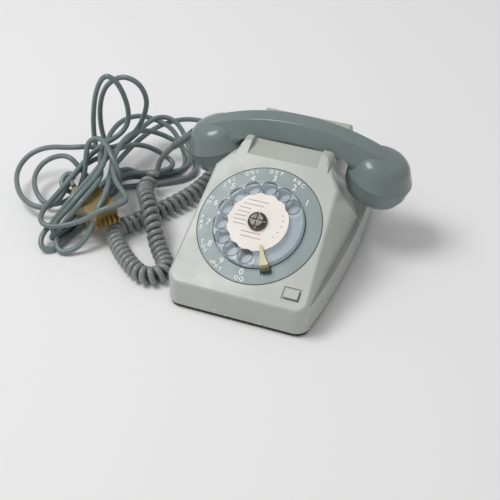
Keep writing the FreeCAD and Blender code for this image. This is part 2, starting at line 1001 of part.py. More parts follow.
def number_ring():
    body = new_body("number_ring", dial_frame())
    proud = size("ring_proud")
    bevel = size("ring_bevel")
    outer = size("ring_outer")
    turn(body, [(size("ring_inner"), -size("wall")), (outer, -size("wall")), (outer, proud - bevel),
                (outer - bevel, proud), (size("ring_inner"), proud)])
    angle = size("stop_angle")
    low = size("ring_inner") - OVERRUN
    high = size("stop_root") + size("stop_thickness") + size("stop_slot")
    half = size("stop_half_root") + size("stop_slot") / 3
    corners = [polar(angle, low, -half), polar(angle, high, -half), polar(angle, high, half),
               polar(angle, low, half)]
    cut_slab(body, corners, -size("wall"), proud + OVERRUN)
    return body


def finger_stop():
    """A bent hook that rises through its slot in the ring and tapers in over the finger wheel."""
    turned = Placement(Vector(), Rotation(Vector(0, 0, 1), size("stop_angle").value))
    body = new_body("finger_stop", dial_frame().multiply(turned))
    root = size("stop_root")
    thick = size("stop_thickness")
    top = size("stop_top")
    tip = size("stop_tip")
    dip = thick / 2
    across(body, "XZ_Plane", [(root, -size("wall")), (root + thick, -size("wall")),
                              (root + thick, top - thick),
                              (root, top), (tip, top - dip), (tip, top - dip - thick), (root, top - thick)],
           2 * size("stop_half_root"))
    wide = size("stop_half_root")
    waist = (root + tip) / 2
    for side in (1, -1):
        taper = [(tip - OVERRUN, side * size("stop_half_tip")), (waist, side * size("stop_half_waist")),
                 (root, side * wide), (root, side * 2 * wide), (tip - OVERRUN, side * 2 * wide)]
        cut_slab(body, taper, 0, top + OVERRUN)
    return body


def finger_holes():
    """Centres of the finger holes, counted from the first digit."""
    return [polar(size("first_hole") + number * size("hole_pitch"), size("hole_circle"))
            for number in range(int(size("hole_count").value))]


def finger_wheel():
    body = new_body("finger_wheel", dial_frame())
    low = size("wheel_bottom")
    high = size("wheel_top")
    bevel = size("wheel_bevel")
    radius = size("wheel_radius")
    bore = size("shaft_radius") + size("fit_gap")
    turn(body, [(bore, low), (radius - bevel, low), (radius, low + bevel), (radius, high - bevel),
                (radius - bevel, high), (bore, high)])
    cut_discs(body, finger_holes(), size("hole_radius"), low - OVERRUN, high + OVERRUN)
    return body


def dial_card():
    body = new_body("dial_card", dial_frame())
    low = size("wheel_top")
    high = low + size("card_thickness")
    disc(body, (dim(0), dim(0)), size("card_radius"), low, high)
    cut_disc(body, (dim(0), dim(0)), size("shaft_radius") + size("fit_gap"), low - OVERRUN, high + OVERRUN)
    cut_discs(body, finger_holes(), size("hole_radius"), low - OVERRUN, high + OVERRUN)
    return body


def hub_screw():
    """A domed screw head with a crossed slot."""
    body = new_body("hub_screw", dial_frame())
    low = size("wheel_top") + size("card_thickness")
    high = low + size("hub_height")
    radius = size("hub_radius")
    stem = size("shaft_radius") / 2
    head = turn(body, [(0, low - size("hub_stem")), (stem, low - size("hub_stem")), (stem, low),
                       (radius, low),
                       (radius, high), (0, high)])

    def is_top_edge(edge):
        return isinstance(edge.Curve, Part.Circle) and abs(edge.CenterOfMass.z - high.value) < 1e-3

    round_edges(body, head, size("hub_round"), is_top_edge)
    slot = size("hub_slot")
    for width, depth in ((2 * radius, slot), (slot, 2 * radius)):
        slot = rectangle((dim(0), dim(0)), width, depth)
        cut_slab(body, slot, high - size("hub_slot_depth"), high + OVERRUN)
    return body


def dial_shaft():
    body = new_body("dial_shaft", dial_frame())
    radius = size("shaft_radius")
    low = -(size("frame_depth") + size("frame_thickness") + size("shaft_overrun"))
    collar_low = size("drum_top") + size("running_gap")
    high = size("wheel_top") + size("card_thickness")
    stem = size("shaft_radius") / 2 + size("fit_gap")
    turn(body, [(0, low), (radius, low), (radius, collar_low), (2 * radius, collar_low),
                (2 * radius, size("wheel_bottom")),
                (radius, size("wheel_bottom")), (radius, high), (stem, high), (stem, high - size("hub_stem")),
                (0, high - size("hub_stem"))])
    return body


# Dial works
def second_arbor():
    """Angle and distance of the second arbor from the dial shaft."""
    return dim(0), size("gear_module") * (size("main_teeth") + size("pinion_teeth")) / 2


def governor_arbor():
    _, reach = second_arbor()
    arm = size("gear_module") * (size("second_teeth") + size("pinion_teeth")) / 2
    x = reach.value + arm.value * math.cos(math.radians(size("governor_angle").value))
    y = arm.value * math.sin(math.radians(size("governor_angle").value))
    return dim(math.degrees(math.atan2(y, x))), dim(math.hypot(x, y))


def arbors():
    return [second_arbor(), governor_arbor()]


def arbor_frame(place, height):
    x, y = polar(*place)
    return dial_frame().multiply(at(x, y, height))


def involute(angle):
    return math.tan(angle) - angle


# Tooth proportions, in modules, and the pressure angle
TOOTH_TOP = 0.75
TOOTH_ROOT = 1.15
TOOTH_BACKLASH = 0.09
PRESSURE_ANGLE = 20


def gear_outline(teeth, module, phase):
    """Corners of a spur gear with involute flanks, low teeth and some backlash."""
    pitch = module * teeth / 2
    pressure = math.radians(PRESSURE_ANGLE)
    base = pitch * math.cos(pressure)
    tip = pitch + TOOTH_TOP * module
    root = pitch - TOOTH_ROOT * module
    half = math.pi / (2 * teeth) - TOOTH_BACKLASH * module / pitch + involute(pressure)
    start = max(base, root)
    flank = []
    for step in range(4):
        radius = start + (tip - start) * step / 3
        flank.append((radius, half - involute(math.acos(min(1, base / radius)))))
    corners = []
    for tooth in range(teeth):
        middle = phase + 2 * math.pi * tooth / teeth
        valley = math.pi / teeth
        corners.append((root, middle - valley))
        if root < start:
            corners.append((root, middle - flank[0][1]))
        corners += [(radius, middle - angle) for radius, angle in flank]
        corners += [(radius, middle + angle) for radius, angle in reversed(flank)]
        if root < start:
            corners.append((root, middle + flank[0][1]))
    return [Vector(radius * math.cos(angle), radius * math.sin(angle), 0) for radius, angle in corners]


def gear_solid(teeth, phase, low, thickness):
    corners = gear_outline(int(teeth.value), size("gear_module").value, phase)
    solid = Part.Face(Part.makePolygon(corners + corners[:1])).extrude(Vector(0, 0, thickness.value))
    solid.translate(Vector(0, 0, low.value))
    return solid


def scripted(label, shape, place):
    item = DOC.addObject("Part::Feature", label)
    item.Shape = shape
    item.Placement = place
    item.Label = label
    return item


def main_level():
    return -(size("frame_depth") - size("gear_thickness") - size("running_gap") * 2)


def second_level():
    return main_level() + 2 * size("gear_thickness")


def main_gear():
    wheel = gear_solid(size("main_teeth"), 0, main_level(), size("gear_thickness"))
    bore = (size("shaft_radius") + size("fit_gap")).value
    low = Vector(0, 0, main_level().value - OVERRUN)
    hole = Part.makeCylinder(bore, 3 * size("gear_thickness").value, low)
    return scripted("main_gear", wheel.cut(hole), dial_frame())


def arbor_solid():
    low = -(size("frame_depth") + size("frame_thickness"))
    high = -size("wall") - size("dial_flange_thickness") + size("arbor_seat") - size("running_gap")
    return Part.makeCylinder(size("arbor_radius").value, (high - low).value, Vector(0, 0, low.value))


def half_tooth(teeth):
    return math.pi / teeth.value


def second_wheel():
    """A large wheel and the pinion that the main gear drives, on one arbor."""
    pinion = gear_solid(size("pinion_teeth"), math.pi + half_tooth(size("pinion_teeth")), main_level(),
                        size("gear_thickness") * 2)
    wheel = gear_solid(size("second_teeth"), math.radians(size("governor_angle").value), second_level(),
                       size("gear_thickness"))
    return scripted("second_wheel", pinion.fuse([wheel, arbor_solid()]).removeSplitter(),
                    arbor_frame(second_arbor(), 0))


def governor_rotor():
    """The governor's pinion and cross arm on one arbor."""
    facing = math.radians(size("governor_angle").value) + math.pi
    pinion = gear_solid(size("pinion_teeth"), facing + half_tooth(size("pinion_teeth")), second_level(),
                        size("gear_thickness"))
    arm_low = (second_level() + size("gear_thickness")).value
    reach = size("governor_reach").value
    width = size("governor_arm_width").value
    arm = Part.makeBox(2 * reach, width, size("governor_arm_thickness").value,
                       Vector(-reach, -width / 2, arm_low))
    return scripted("governor_rotor", pinion.fuse([arm, arbor_solid()]).removeSplitter(),
                    arbor_frame(governor_arbor(), 0))


def governor_weights():
    low = second_level() + size("gear_thickness") + size("governor_arm_thickness")
    weights = []
    for side in (1, -1):
        x, y = polar(*governor_arbor())
        place = dial_frame().multiply(at(x + side * size("governor_weight_offset"), y, low))
        weights.append(cylinder("governor_weight_%d" % len(weights), size("governor_weight_radius"),
                                size("governor_weight_height"), place))
    return group("governor_weights", weights)


# Pillars stand between the gears
PILLAR_ANGLES = (100, 215, 300)


def dial_bridge():
    """The rear plate of the dial works on three pillars."""
    body = new_body("dial_bridge", dial_frame())
    top = -size("frame_depth")
    bottom = top - size("frame_thickness")
    disc(body, (dim(0), dim(0)), size("frame_radius"), bottom, top)
    seat = -size("wall") - size("dial_flange_thickness")
    for angle in PILLAR_ANGLES:
        disc(body, polar(dim(angle), size("frame_radius") - size("pillar_inset")),
             size("pillar_radius"), bottom, seat)
    cut_disc(body, (dim(0), dim(0)), size("shaft_radius") + size("fit_gap"), bottom - OVERRUN, top + OVERRUN)
    for place in arbors():
        cut_disc(body, polar(*place), size("arbor_radius") + size("fit_gap"), bottom - OVERRUN, top + OVERRUN)
    return body


def coil_spring(label, place, radius, wire, turns, low, high):
    body = new_body(label, place)
    sketch = new_sketch(body, "XZ_Plane")
    draw_circle(sketch, (dim(radius), dim(low) + wire), wire)
    coil = body.newObject("PartDesign::AdditiveHelix", "Helix")
    coil.Profile = sketch
    coil.ReferenceAxis = (sketch, ["V_Axis"])
    coil.Mode = 0
    height = dim(high) - low - 2 * dim(wire)
    bind(coil, "Height", height)
    bind(coil, "Pitch", height / turns)
    body.Tip = coil
    return body


# Push button
def button_frame():
    return face_frame(size("button_along_face"), size("button_x"))


def push_button():
    """A square cap on a flange that stops it behind the face."""
    body = new_body("push_button", button_frame())
    centre = (dim(0), dim(0))
    flange_low = -size("button_length")
    flange_high = flange_low + size("button_flange_thickness")
    wide = size("button_width") + 2 * size("button_flange_lip")
    deep = size("button_depth") + 2 * size("button_flange_lip")
    slab(body, rectangle(centre, wide, deep), flange_low, flange_high)
    high = size("button_proud")
    cap = slab(body, rectangle(centre, size("button_width"), size("button_depth")), flange_low, high)
    round_edges(body, cap, size("button_round"),
                lambda edge: edge.CenterOfMass.z > flange_high.value + NEAR)
    return body


def switch_seat():
    """Height below the face of the switch's upper side, with the button at the end of its travel."""
    return -(size("button_length") + size("button_travel") + size("button_spring_room"))


def button_spring():
    return coil_spring("button_spring", button_frame(), size("button_spring_radius"), size("spring_wire"),
                       size("button_spring_turns"), switch_seat(), -size("button_length"))


def button_switch():
    """The switch under the button and the two legs that hang it from the housing's face."""
    body = new_body("button_switch", button_frame())
    low = switch_seat() - size("switch_height")
    half = size("button_width") / 2 + size("button_flange_lip") + size("running_gap")
    leg = size("switch_leg")
    slab(body, rectangle((dim(0), dim(0)), 2 * (half + leg), size("button_depth")), low, switch_seat())
    for side in (1, -1):
        slab(body, rectangle((side * (half + leg / 2), dim(0)), leg, size("button_depth")), low,
             -size("wall"))
    return body


# Hook switch
def hook_bar_bottom():
    return size("hook_bar_height") - size("hook_bar_thickness")


def hook_bar():
    """A bar with two plungers that the resting handset holds down."""
    body = new_body("hook_bar", at(0, cradle_y(), 0))
    centre = (dim(0), dim(0))
    length = 2 * (size("plunger_x") + size("plunger_radius"))
    slab(body, rectangle(centre, length, 2 * size("plunger_radius")), hook_bar_bottom(),
         size("hook_bar_height"))
    top = size("grip_under") - size("plunger_gap")
    for side in (1, -1):
        plunger = disc(body, (side * size("plunger_x"), dim(0)), size("plunger_radius"), hook_bar_bottom(),
                       top)
    round_edges(body, plunger, size("plunger_round"),
                lambda edge: abs(edge.CenterOfMass.z - top.value) < 1e-3)
    return body


def hook_bridge():
    """The portal on the base plate that carries the hook switch."""
    body = new_body("hook_bridge", at(0, cradle_y(), 0))
    half = size("neck_half") - size("wall") - size("bridge_side_gap")
    thick = size("bridge_thickness")
    low = shell_bottom()
    high = size("bridge_height")
    outline = [(-half, low), (-half, high), (half, high), (half, low), (half - thick, low),
               (half - thick, high - thick), (thick - half, high - thick), (thick - half, low)]
    across(body, "XZ_Plane", outline, size("bridge_width"))
    return body


def hook_switch():
    body = new_body("hook_switch", at(0, cradle_y(), 0))
    low = size("bridge_height")
    high = low + size("hook_switch_height")
    slab(body, rectangle((dim(0), dim(0)), size("hook_switch_length"), size("bridge_width")), low, high)
    return body


def hook_spring():
    low = size("bridge_height") + size("hook_switch_height")
    return coil_spring("hook_spring", at(0, cradle_y(), 0), size("hook_spring_radius"), size("spring_wire"),
                       size("hook_spring_turns"), low, hook_bar_bottom())


# Circuit board
def board_holes():
    x = size("board_width") / 2 - size("board_hole_inset")
    y = size("board_length") / 2 - size("board_hole_inset")
    return [(side * x, from_back("board_setback") + end * y) for side in (1, -1) for end in (1, -1)]


def board_top():
    return size("board_height") + size("board_thickness")


def circuit_board():
    body = new_body("circuit_board")
    outline = rectangle((dim(0), from_back("board_setback")), size("board_width"), size("board_length"))
    slab(body, outline, size("board_height"), board_top())
    return body


def transformer_y():
    """The transformer and the capacitor stand in one row in front of the ringer's coil."""
    front = from_back("ringer_coil_setback") - size("ringer_coil_radius")
    return front - size("transformer_gap") - size("transformer_depth") / 2


def transformer():
    """A laminated core with a winding on its middle limb."""
    body = new_body("transformer", at(size("transformer_x"), transformer_y(),
                                      board_top()))
    length = size("transformer_length")
    depth = size("transformer_depth")
    tall = size("transformer_height")
    margin = size("winding_margin")
    slab(body, rectangle((dim(0), dim(0)), length, size("core_depth")), 0, tall)
    slab(body, rectangle((dim(0), dim(0)), size("winding_length"), depth), margin, tall - margin)
    return body


def lying(x, y, z):
    """A frame whose Z axis points to the right of the telephone."""
    return Placement(Vector(dim(x).value, dim(y).value, dim(z).value), Rotation(Vector(0, 1, 0), 90))


def capacitor():
    radius = size("capacitor_radius")
    length = size("capacitor_length")
    place = lying(size("capacitor_x") - length / 2, transformer_y(),
                  board_top() + radius)
    return cylinder("capacitor", radius, length, place)


def terminal_block():
    """A row of wells for the cord ends."""
    length = size("terminal_length")
    depth = size("terminal_depth")
    tall = size("terminal_height")
    y = from_back("board_setback") - size("board_length") / 2 + depth
    body = new_body("terminal_block", at(0, y, board_top()))
    slab(body, rectangle((dim(0), dim(0)), length, depth), 0, tall)
    count = int(size("terminal_count").value)
    step = length / size("terminal_count")
    for number in range(count):
        x = step * (number + 0.5) - length / 2
        well = rectangle((x, dim(0)), size("terminal_well_width"), size("terminal_well_depth"))
        cut_slab(body, well, size("terminal_well_floor"), tall)
    return body


# Ringer
def gong_places():
    return [(side * size("gong_x"), from_back("gong_setback")) for side in (1, -1)]


def gong_seat():
    return size("gong_rim") + size("gong_depth") - size("gong_wall")


def ringer_bracket():
    """The plate with the gong posts, the clapper's pin and the saddle of the coil."""
    body = new_body("ringer_bracket")
    low = shell_bottom()
    high = low + size("bracket_thickness")
    front = from_back("ringer_coil_setback") - size("ringer_coil_radius")
    back = from_back("gong_setback") + size("gong_post_radius") * 2
    half = size("gong_x") + size("gong_post_radius") * 2
    slab(body, [(-half, front), (half, front), (half, back), (-half, back)], low, high)
    for place in gong_places():
        disc(body, place, size("gong_post_radius"), low, gong_seat())
    disc(body, (dim(0), from_back("clapper_setback")), size("clapper_pin_radius"), low,
         clapper_top() + size("bracket_thickness"))
    disc(body, (dim(0), from_back("clapper_setback")), 2 * size("clapper_pin_radius"), low,
         clapper_bottom() - size("running_gap"))
    saddle = rectangle((dim(0), from_back("ringer_coil_setback")), size("ringer_coil_length") / 2,
                       size("ringer_coil_radius"))
    slab(body, saddle, low, size("ringer_coil_z") - size("ringer_winding_radius"))
    bore = size("screw_radius") + size("fit_gap")
    depth = size("gong_screw_length")
    cut_discs(body, gong_places(), bore, gong_seat() - depth, gong_seat())
    return body


def gong(label, place):
    """A turned bell, open at the bottom, seated on its post."""
    body = new_body(label, at(place[0], place[1], 0))
    wall = size("gong_wall")
    outer = size("gong_radius")
    rim = size("gong_rim")
    top = rim + size("gong_depth")
    bore = size("screw_radius") + size("fit_gap")
    shoulder = outer - size("gong_shoulder_inset")
    shoulder_z = top - size("gong_shoulder_drop")
    turn(body, [(bore, top - wall), (bore, top), (outer - size("gong_crown_inset"), top),
                (shoulder, shoulder_z), (outer, rim), (outer - wall, rim),
                (shoulder - wall, shoulder_z - wall / 2),
                (outer - size("gong_crown_inner_inset"), top - wall)])
    return body


def gong_screws():
    top = gong_seat() + size("gong_wall")
    through = size("gong_wall") + size("screw_head_height") - size("running_gap")
    reach = size("gong_screw_length") + through
    screws = []
    for number, (x, y) in enumerate(gong_places()):
        upside_down = Rotation(Vector(1, 0, 0), 180)
        place = Vector(x.value, y.value, (top + size("screw_head_height")).value)
        screws.append(screw("gong_screw_%d" % number, Placement(place, upside_down), size("screw_radius"),
                            reach, size("screw_head_radius"), size("screw_head_height")))
    return group("gong_screws", screws)


def clapper_bottom():
    return size("clapper_z") - size("clapper_hub_height") / 2


def clapper_top():
    return size("clapper_z") + size("clapper_hub_height") / 2


def clapper():
    """An arm on an upright pin with a striker between the gongs."""
    body = new_body("clapper", at(0, from_back("clapper_setback"), 0))
    centre = (dim(0), dim(0))
    reach = from_back("gong_setback") - from_back("clapper_setback")
    thick = size("clapper_thickness")
    disc(body, centre, 2 * size("clapper_pin_radius"), clapper_bottom(), clapper_top())
    arm = [(-thick / 2, dim(0)), (thick / 2, dim(0)), (thick / 2, reach), (-thick / 2, reach)]
    slab(body, arm, size("clapper_z") - thick, size("clapper_z") + thick)
    disc(body, (dim(0), reach), size("striker_radius"), size("clapper_z") - 2 * thick,
         size("clapper_z") + 2 * thick)
    bore = size("clapper_pin_radius") + size("fit_gap")
    cut_disc(body, centre, bore, clapper_bottom() - OVERRUN, clapper_top() + OVERRUN)
    return body


def ringer_coil():
    """A winding between two cheeks, lying across the telephone."""
    half = size("ringer_coil_length") / 2
    body = new_body("ringer_coil", lying(0, from_back("ringer_coil_setback"), size("ringer_coil_z")))
    cheek = size("ringer_cheek")
    radius = size("ringer_coil_radius")
    winding = size("ringer_winding_radius")
    turn(body, [(0, -half), (radius, -half), (radius, cheek - half), (winding, cheek - half),
                (winding, half - cheek), (radius, half - cheek), (radius, half), (0, half)])
    return body


# Handset
def grip():
    """The bowed bar between the cups: flat on top, widest low down and hollowed below."""
    body = new_body("grip", at(size("handset_x"), cradle_y(), size("grip_top") - size("grip_arc")))
    outer = size("grip_arc")
    wide = size("grip_half_wide")
    top = size("grip_half_top")
    waist = outer - size("grip_wide_drop")
    foot = outer - size("grip_depth")
    sketch = new_sketch(body, "YZ_Plane")
    draw_outline(sketch, [(-top, outer), (-wide, waist), (-wide, foot), (wide, foot), (wide, waist),
                          (top, outer)])
    bar = feature(body, "Revolution", sketch)
    bar.ReferenceAxis = (sketch, ["H_Axis"])
    bar.Midplane = True
    bind(bar, "Angle", size("grip_span"))

    def runs_along(edge):
        return isinstance(edge.Curve, Part.Circle) and edge.Curve.Radius > waist.value - 1e-3

    round_edges(body, bar, size("grip_round"), runs_along)
    return body


def grip_underside():
    """What is taken away below the bar, down to where the cups begin."""
    body = new_body("grip_underside", at(size("handset_x"), cradle_y(), 0))
    under = size("grip_under")
    flat_half = size("grip_flat_half")
    end = size("grip_flat_half") + size("grip_fall")
    low = under - 2 * size("cup_height")
    points = [(-flat_half, under), (flat_half, under), (end, under - size("grip_fall")), (end, low),
              (-end, low),
              (-end, under - size("grip_fall"))]
    across(body, "XZ_Plane", points, 4 * size("grip_half_wide"))
    return body


def cup_form(name, side):
    """A conical cup whose rounded shoulder leads into a domed top."""
    body = new_body("cup_form_" + name, cup_frame(side))
    foot = size("cup_radius")
    rim = size("cup_cone_top_radius")
    level = size("cup_cone_height")
    top = size("cup_height")
    rise = top - level
    dome = (rim * rim + rise * rise) / (2 * rise)
    spread = size("cup_shoulder_spread")
    below = (foot - (foot - rim) * (level - spread) / level, level - spread)
    height = level + spread - top + dome
    beyond = (square_root(dome * dome - height * height), level + spread)
    turn(body, [(0, 0), (foot, 0), below, beyond, (0, top)], {2: size("cup_shoulder_round"), 3: dome})
    return body


def cup_hollow(name, side):
    body = new_body("cup_hollow_" + name, cup_frame(side))
    bore = size("cup_bore")
    room = size("cap_collar") + size("running_gap")
    inner = bore - size("cap_collar_wall")
    roof = size("cup_height") - size("cup_roof")
    throat = size("cup_cone_top_radius") - size("cup_wall")
    level = size("cup_cone_height") - size("cup_shoulder_spread")
    turn(body, [(0, -OVERRUN), (bore, -OVERRUN), (bore, room), (inner, room), (throat, level),
                (size("cup_roof_radius"), roof), (0, roof)])
    return body


def under_seam(name, side):
    """The room of the cap below the cup's seam, kept clear of the bar."""
    depth = 2 * size("cup_height")
    return cylinder("under_seam_" + name, size("cup_radius") + size("under_seam_reach"), depth,
                    cup_frame(side).multiply(at(0, 0, -depth)))


def sleeve_frame():
    """A frame at the cord's hole in the left cup, its Z axis along the sleeve."""
    x = size("handset_x") - cup_x() - size("sleeve_reach")
    start = Vector(x.value, cradle_y().value, size("sleeve_z").value)
    return Placement(start, Rotation(Vector(0, 1, 0), -size("sleeve_angle").value))


def handset_body():
    sides = ((1, "right"), (-1, "left"))
    bar = combine("Cut", "trimmed_grip", grip(), grip_underside(),
                  *[under_seam(name, side) for side, name in sides])
    cups = [cup_form(name, side) for side, name in sides]
    whole = combine("Fuse", "solid_handset", bar, *cups)
    hollows = [cup_hollow(name, side) for side, name in sides]
    bore = size("sleeve_radius") + size("fit_gap")
    exit_hole = cylinder("sleeve_hole", bore, 3 * size("sleeve_sink"), sleeve_frame())
    return combine("Cut", "handset_body", whole, *hollows, exit_hole)


def handset_cap(label, side):
    """A screwed cap with a collar, a ledge for its capsule and a round of sound holes."""
    body = new_body(label, cup_frame(side))
    depth = size("cap_depth")
    face = size("cap_face_radius")
    rim = size("cup_radius") - size("running_gap")
    seam = size("running_gap")
    collar = size("cup_bore") - size("fit_gap")
    inner = collar - size("cap_collar_wall") + size("fit_gap")
    ledge = capsule_seat()
    floor = size("cap_floor") - depth
    turn(body, [(0, -depth), (face - size("cap_face_bevel") * 2, -depth),
                (face, size("cap_face_bevel") - depth),
                (rim - size("cap_taper"), size("cap_shoulder") - depth), (rim, -seam), (collar, -seam),
                (collar, size("cap_collar")), (inner, size("cap_collar")), (inner, ledge),
                (inner - size("cap_ledge"), ledge), (inner - size("cap_ledge"), floor), (0, floor)])
    count = int(size("sound_hole_count").value)
    ring = [polar(dim(360 * number / count), size("sound_hole_circle")) for number in range(count)]
    cut_discs(body, [(dim(0), dim(0))] + ring, size("sound_hole_radius"), -depth - OVERRUN, floor + OVERRUN)
    return body


def capsule_seat():
    return size("cap_floor") + size("capsule_room") - size("cap_depth")


def capsule(label, side):
    body = new_body(label, cup_frame(side))
    radius = size("cup_bore") - size("cap_collar_wall") - size("running_gap")
    low = capsule_seat()
    high = low + size("capsule_height")
    turn(body, [(0, low), (radius, low), (radius, high - size("capsule_taper_height")),
                (radius - size("capsule_taper"), high), (0, high)])
    return body


def cord_sleeve():
    body = new_body("handset_cord_sleeve", sleeve_frame())
    length = size("sleeve_length")
    turn(body, [(0, size("sleeve_sink") / 4), (size("sleeve_radius"), size("sleeve_sink") / 4),
                (size("sleeve_radius"), 2 * size("sleeve_sink")), (size("sleeve_end_radius"), length),
                (0, length)])
    return body


# Cords
LINE_ROUTE = [
    (-15, 115, 12), (-15, 126, 12), (-21, 139, 10), (-35, 150, 8), (-56, 156, 9), (-80, 158, 11),
    (-106, 155, 14),
    (-130, 149, 17), (-147, 141, 19), (-158, 132, 21),
]
BASE_LEAD_ROUTE = [
    (-41, 115, 12), (-41, 125.6, 12), (-48, 136.5, 10), (-61, 142.5, 7.5), (-76, 142, 6), (-86, 136, 5.2),
    (-92, 125.6, 5.2), (-92.6, 112, 5.8), (-92.7, 98, 6.8), (-92, 84, 8),
]
COIL_ROUTE = [
    (-137, 45, 19), (-141, 37, 15), (-138, 22, 16), (-128, 5, 24.5), (-116, -13, 26), (-107, -25, 20),
    (-99, -37, 12),
    (-89, -49, 8), (-77, -63, 8), (-76.8, -72, 8), (-82.4, -79.1, 8), (-91.2, -81.1, 8), (-102, -76, 8),
    (-115, -66, 8),
    (-128, -54, 8), (-138, -42, 8), (-141, -31, 8), (-135, -22, 8), (-128, -12, 8), (-121, 0, 8),
    (-114, 11.5, 8),
    (-108, 23, 8), (-102, 35, 8), (-97, 49, 8), (-93.5, 66, 8), (-92, 84, 8),
]


# Share of a run that each bend at its ends may use
BEND_SHARE = 0.45


def route_wire(label, route):
    """A path of straight runs joined by tangent arcs, each as large as its two runs allow."""
    points = [Vector(*point) for point in route]
    edges = []
    radii = []
    last = points[0]
    for before, corner, after in zip(points, points[1:], points[2:]):
        back = before - corner
        ahead = after - corner
        cut = BEND_SHARE * min(back.Length, ahead.Length)
        back.normalize()
        ahead.normalize()
        half = (math.pi - back.getAngle(ahead)) / 2
        radius = cut / math.tan(half)
        middle = back + ahead
        middle.normalize()
        centre = corner + middle * (radius / math.cos(half))
        start = corner + back * cut
        end = corner + ahead * cut
        edges.append(Part.LineSegment(last, start).toShape())
        edges.append(Part.Arc(start, centre - middle * radius, end).toShape())
        last = end
        radii.append(round(radius, 1))
    edges.append(Part.LineSegment(last, points[-1]).toShape())
    print(label, "bend radii", radii)
    return Part.Wire(edges)


def tube(label, route, diameter):
    path = route_wire(label, route)
    along = Vector(*route[1]) - Vector(*route[0])
    section = Part.Wire(Part.makeCircle(diameter.value / 2, Vector(*route[0]), along))
    solid = path.makePipeShell([section], True, False)
    expected = math.pi * diameter.value ** 2 / 4 * path.Length
    print(label, "length", round(path.Length, 1), "volume ratio", round(solid.Volume / expected, 4))
    return scripted(label, solid, Placement())


# Straight run of the cord out of its sleeve
TOP_LEAD_STRAIGHT = 8


def top_lead_route():
    """The plain stretch of the handset cord between its sleeve and its coil."""
    end = sleeve_frame().multVec(Vector(0, 0, size("sleeve_length").value))
    along = sleeve_frame().Rotation.multVec(Vector(0, 0, 1))
    second = end + along * TOP_LEAD_STRAIGHT
    return [tuple(end), tuple(second), (-134, 50, 34), (-136, 48.4, 26), COIL_ROUTE[0]]


def gland(label, x):
    """A flanged bush in the back wall, tapering along its cord."""
    wall = size("wall")
    body = new_body(label, backwards(x, size("base_depth") / 2, size("cord_exit_z")))
    lip = size("gland_lip")
    flange = size("gland_flange")
    tail = -wall - size("gland_tail")
    end = size("cord_diameter") / 2 + size("cord_grip_wall")
    turn(body, [(0, tail), (size("gland_radius"), tail), (size("gland_radius"), 0), (flange, 0),
                (flange, lip), (size("gland_radius"), lip), (end, size("gland_length")),
                (0, size("gland_length"))])
    return body


# Plug
def plug_frame(height):
    place = Vector(size("plug_x").value, size("plug_y").value, (size("plug_z") + height).value)
    return Placement(place, Rotation(Vector(0, 0, 1), size("plug_turn").value))


def plug_outline():
    """A plug with chamfered ends, narrower at its cord."""
    x = size("plug_length") / 2
    y = size("plug_width") / 2
    bevel = size("plug_bevel")
    neck = size("plug_neck_width") / 2
    taper = size("plug_taper_length") - x
    return [(-x, -neck), (taper, -y), (x - bevel, -y), (x, bevel - y), (x, y - bevel), (x - bevel, y),
            (taper, y), (-x, neck)]


def plug_body():
    body = new_body("plug_body", plug_frame(dim(0)))
    slab(body, plug_outline(), -size("plug_height") / 2, size("plug_split"))
    return body


def plug_cover():
    body = new_body("plug_cover", plug_frame(dim(0)))
    cover = slab(body, plug_outline(), size("plug_split"), size("plug_height") / 2)
    top = size("plug_height").value / 2
    round_edges(body, cover, size("plug_round"), lambda edge: abs(edge.CenterOfMass.z - top) < 1e-3)
    return body


def plug_contacts():
    blades = []
    count = int(size("contact_count").value)
    for number in range(count):
        body = new_body("contact_%d" % number, plug_frame(dim(0)))
        y = size("contact_step") * (number - (count - 1) / 2)
        x = size("plug_length") / 2
        length = size("contact_length")
        slab(body, rectangle((x + length / 2, y), length, size("contact_thickness")),
             -size("contact_height") / 2,
             size("contact_height") / 2)
        blades.append(body)
    return group("plug_contacts", blades)


def plug_boot():
    x = -size("plug_length") / 2
    place = plug_frame(-size("plug_boot_drop")).multiply(Placement(Vector(x.value, 0, 0),
                                                                    Rotation(Vector(0, 1, 0), -90)))
    body = new_body("plug_boot", place)
    end = size("cord_diameter") / 2 + size("cord_grip_wall")
    turn(body, [(0, 0), (size("boot_radius"), 0), (end, size("boot_length")), (0, size("boot_length"))])
    return body


# The hank that the line cord is wound into
BUNDLE_PLAN = [(-212, -78), (-168, -82), (-152, -20), (-165, 60), (-195, 88), (-218, 60), (-214, 0)]
TALL_LOOPS = [(-214, 30), (-212, 80), (-198, 106), (-178, 108), (-160, 98), (-154, 72), (-172, 40)]
LEFT_LOOPS = [(-205, 45), (-250, 46), (-272, 24), (-262, -8), (-235, -36), (-200, -40)]
RIGHT_LOOPS = [(-200, 60), (-208, 110), (-195, 140), (-160, 146), (-135, 120), (-122, 92), (-140, 66)]
BUNDLE_LEVELS = (0.5, 50)
LEFT_LEVELS = (2, 36)
RIGHT_LEVELS = (2, 34)
TALL_LOOPS_Y = 70
TALL_LOOPS_DEPTH = 36


def loop_body(label, points, low, high):
    body = new_body(label)
    slab(body, points, low, high)
    return body


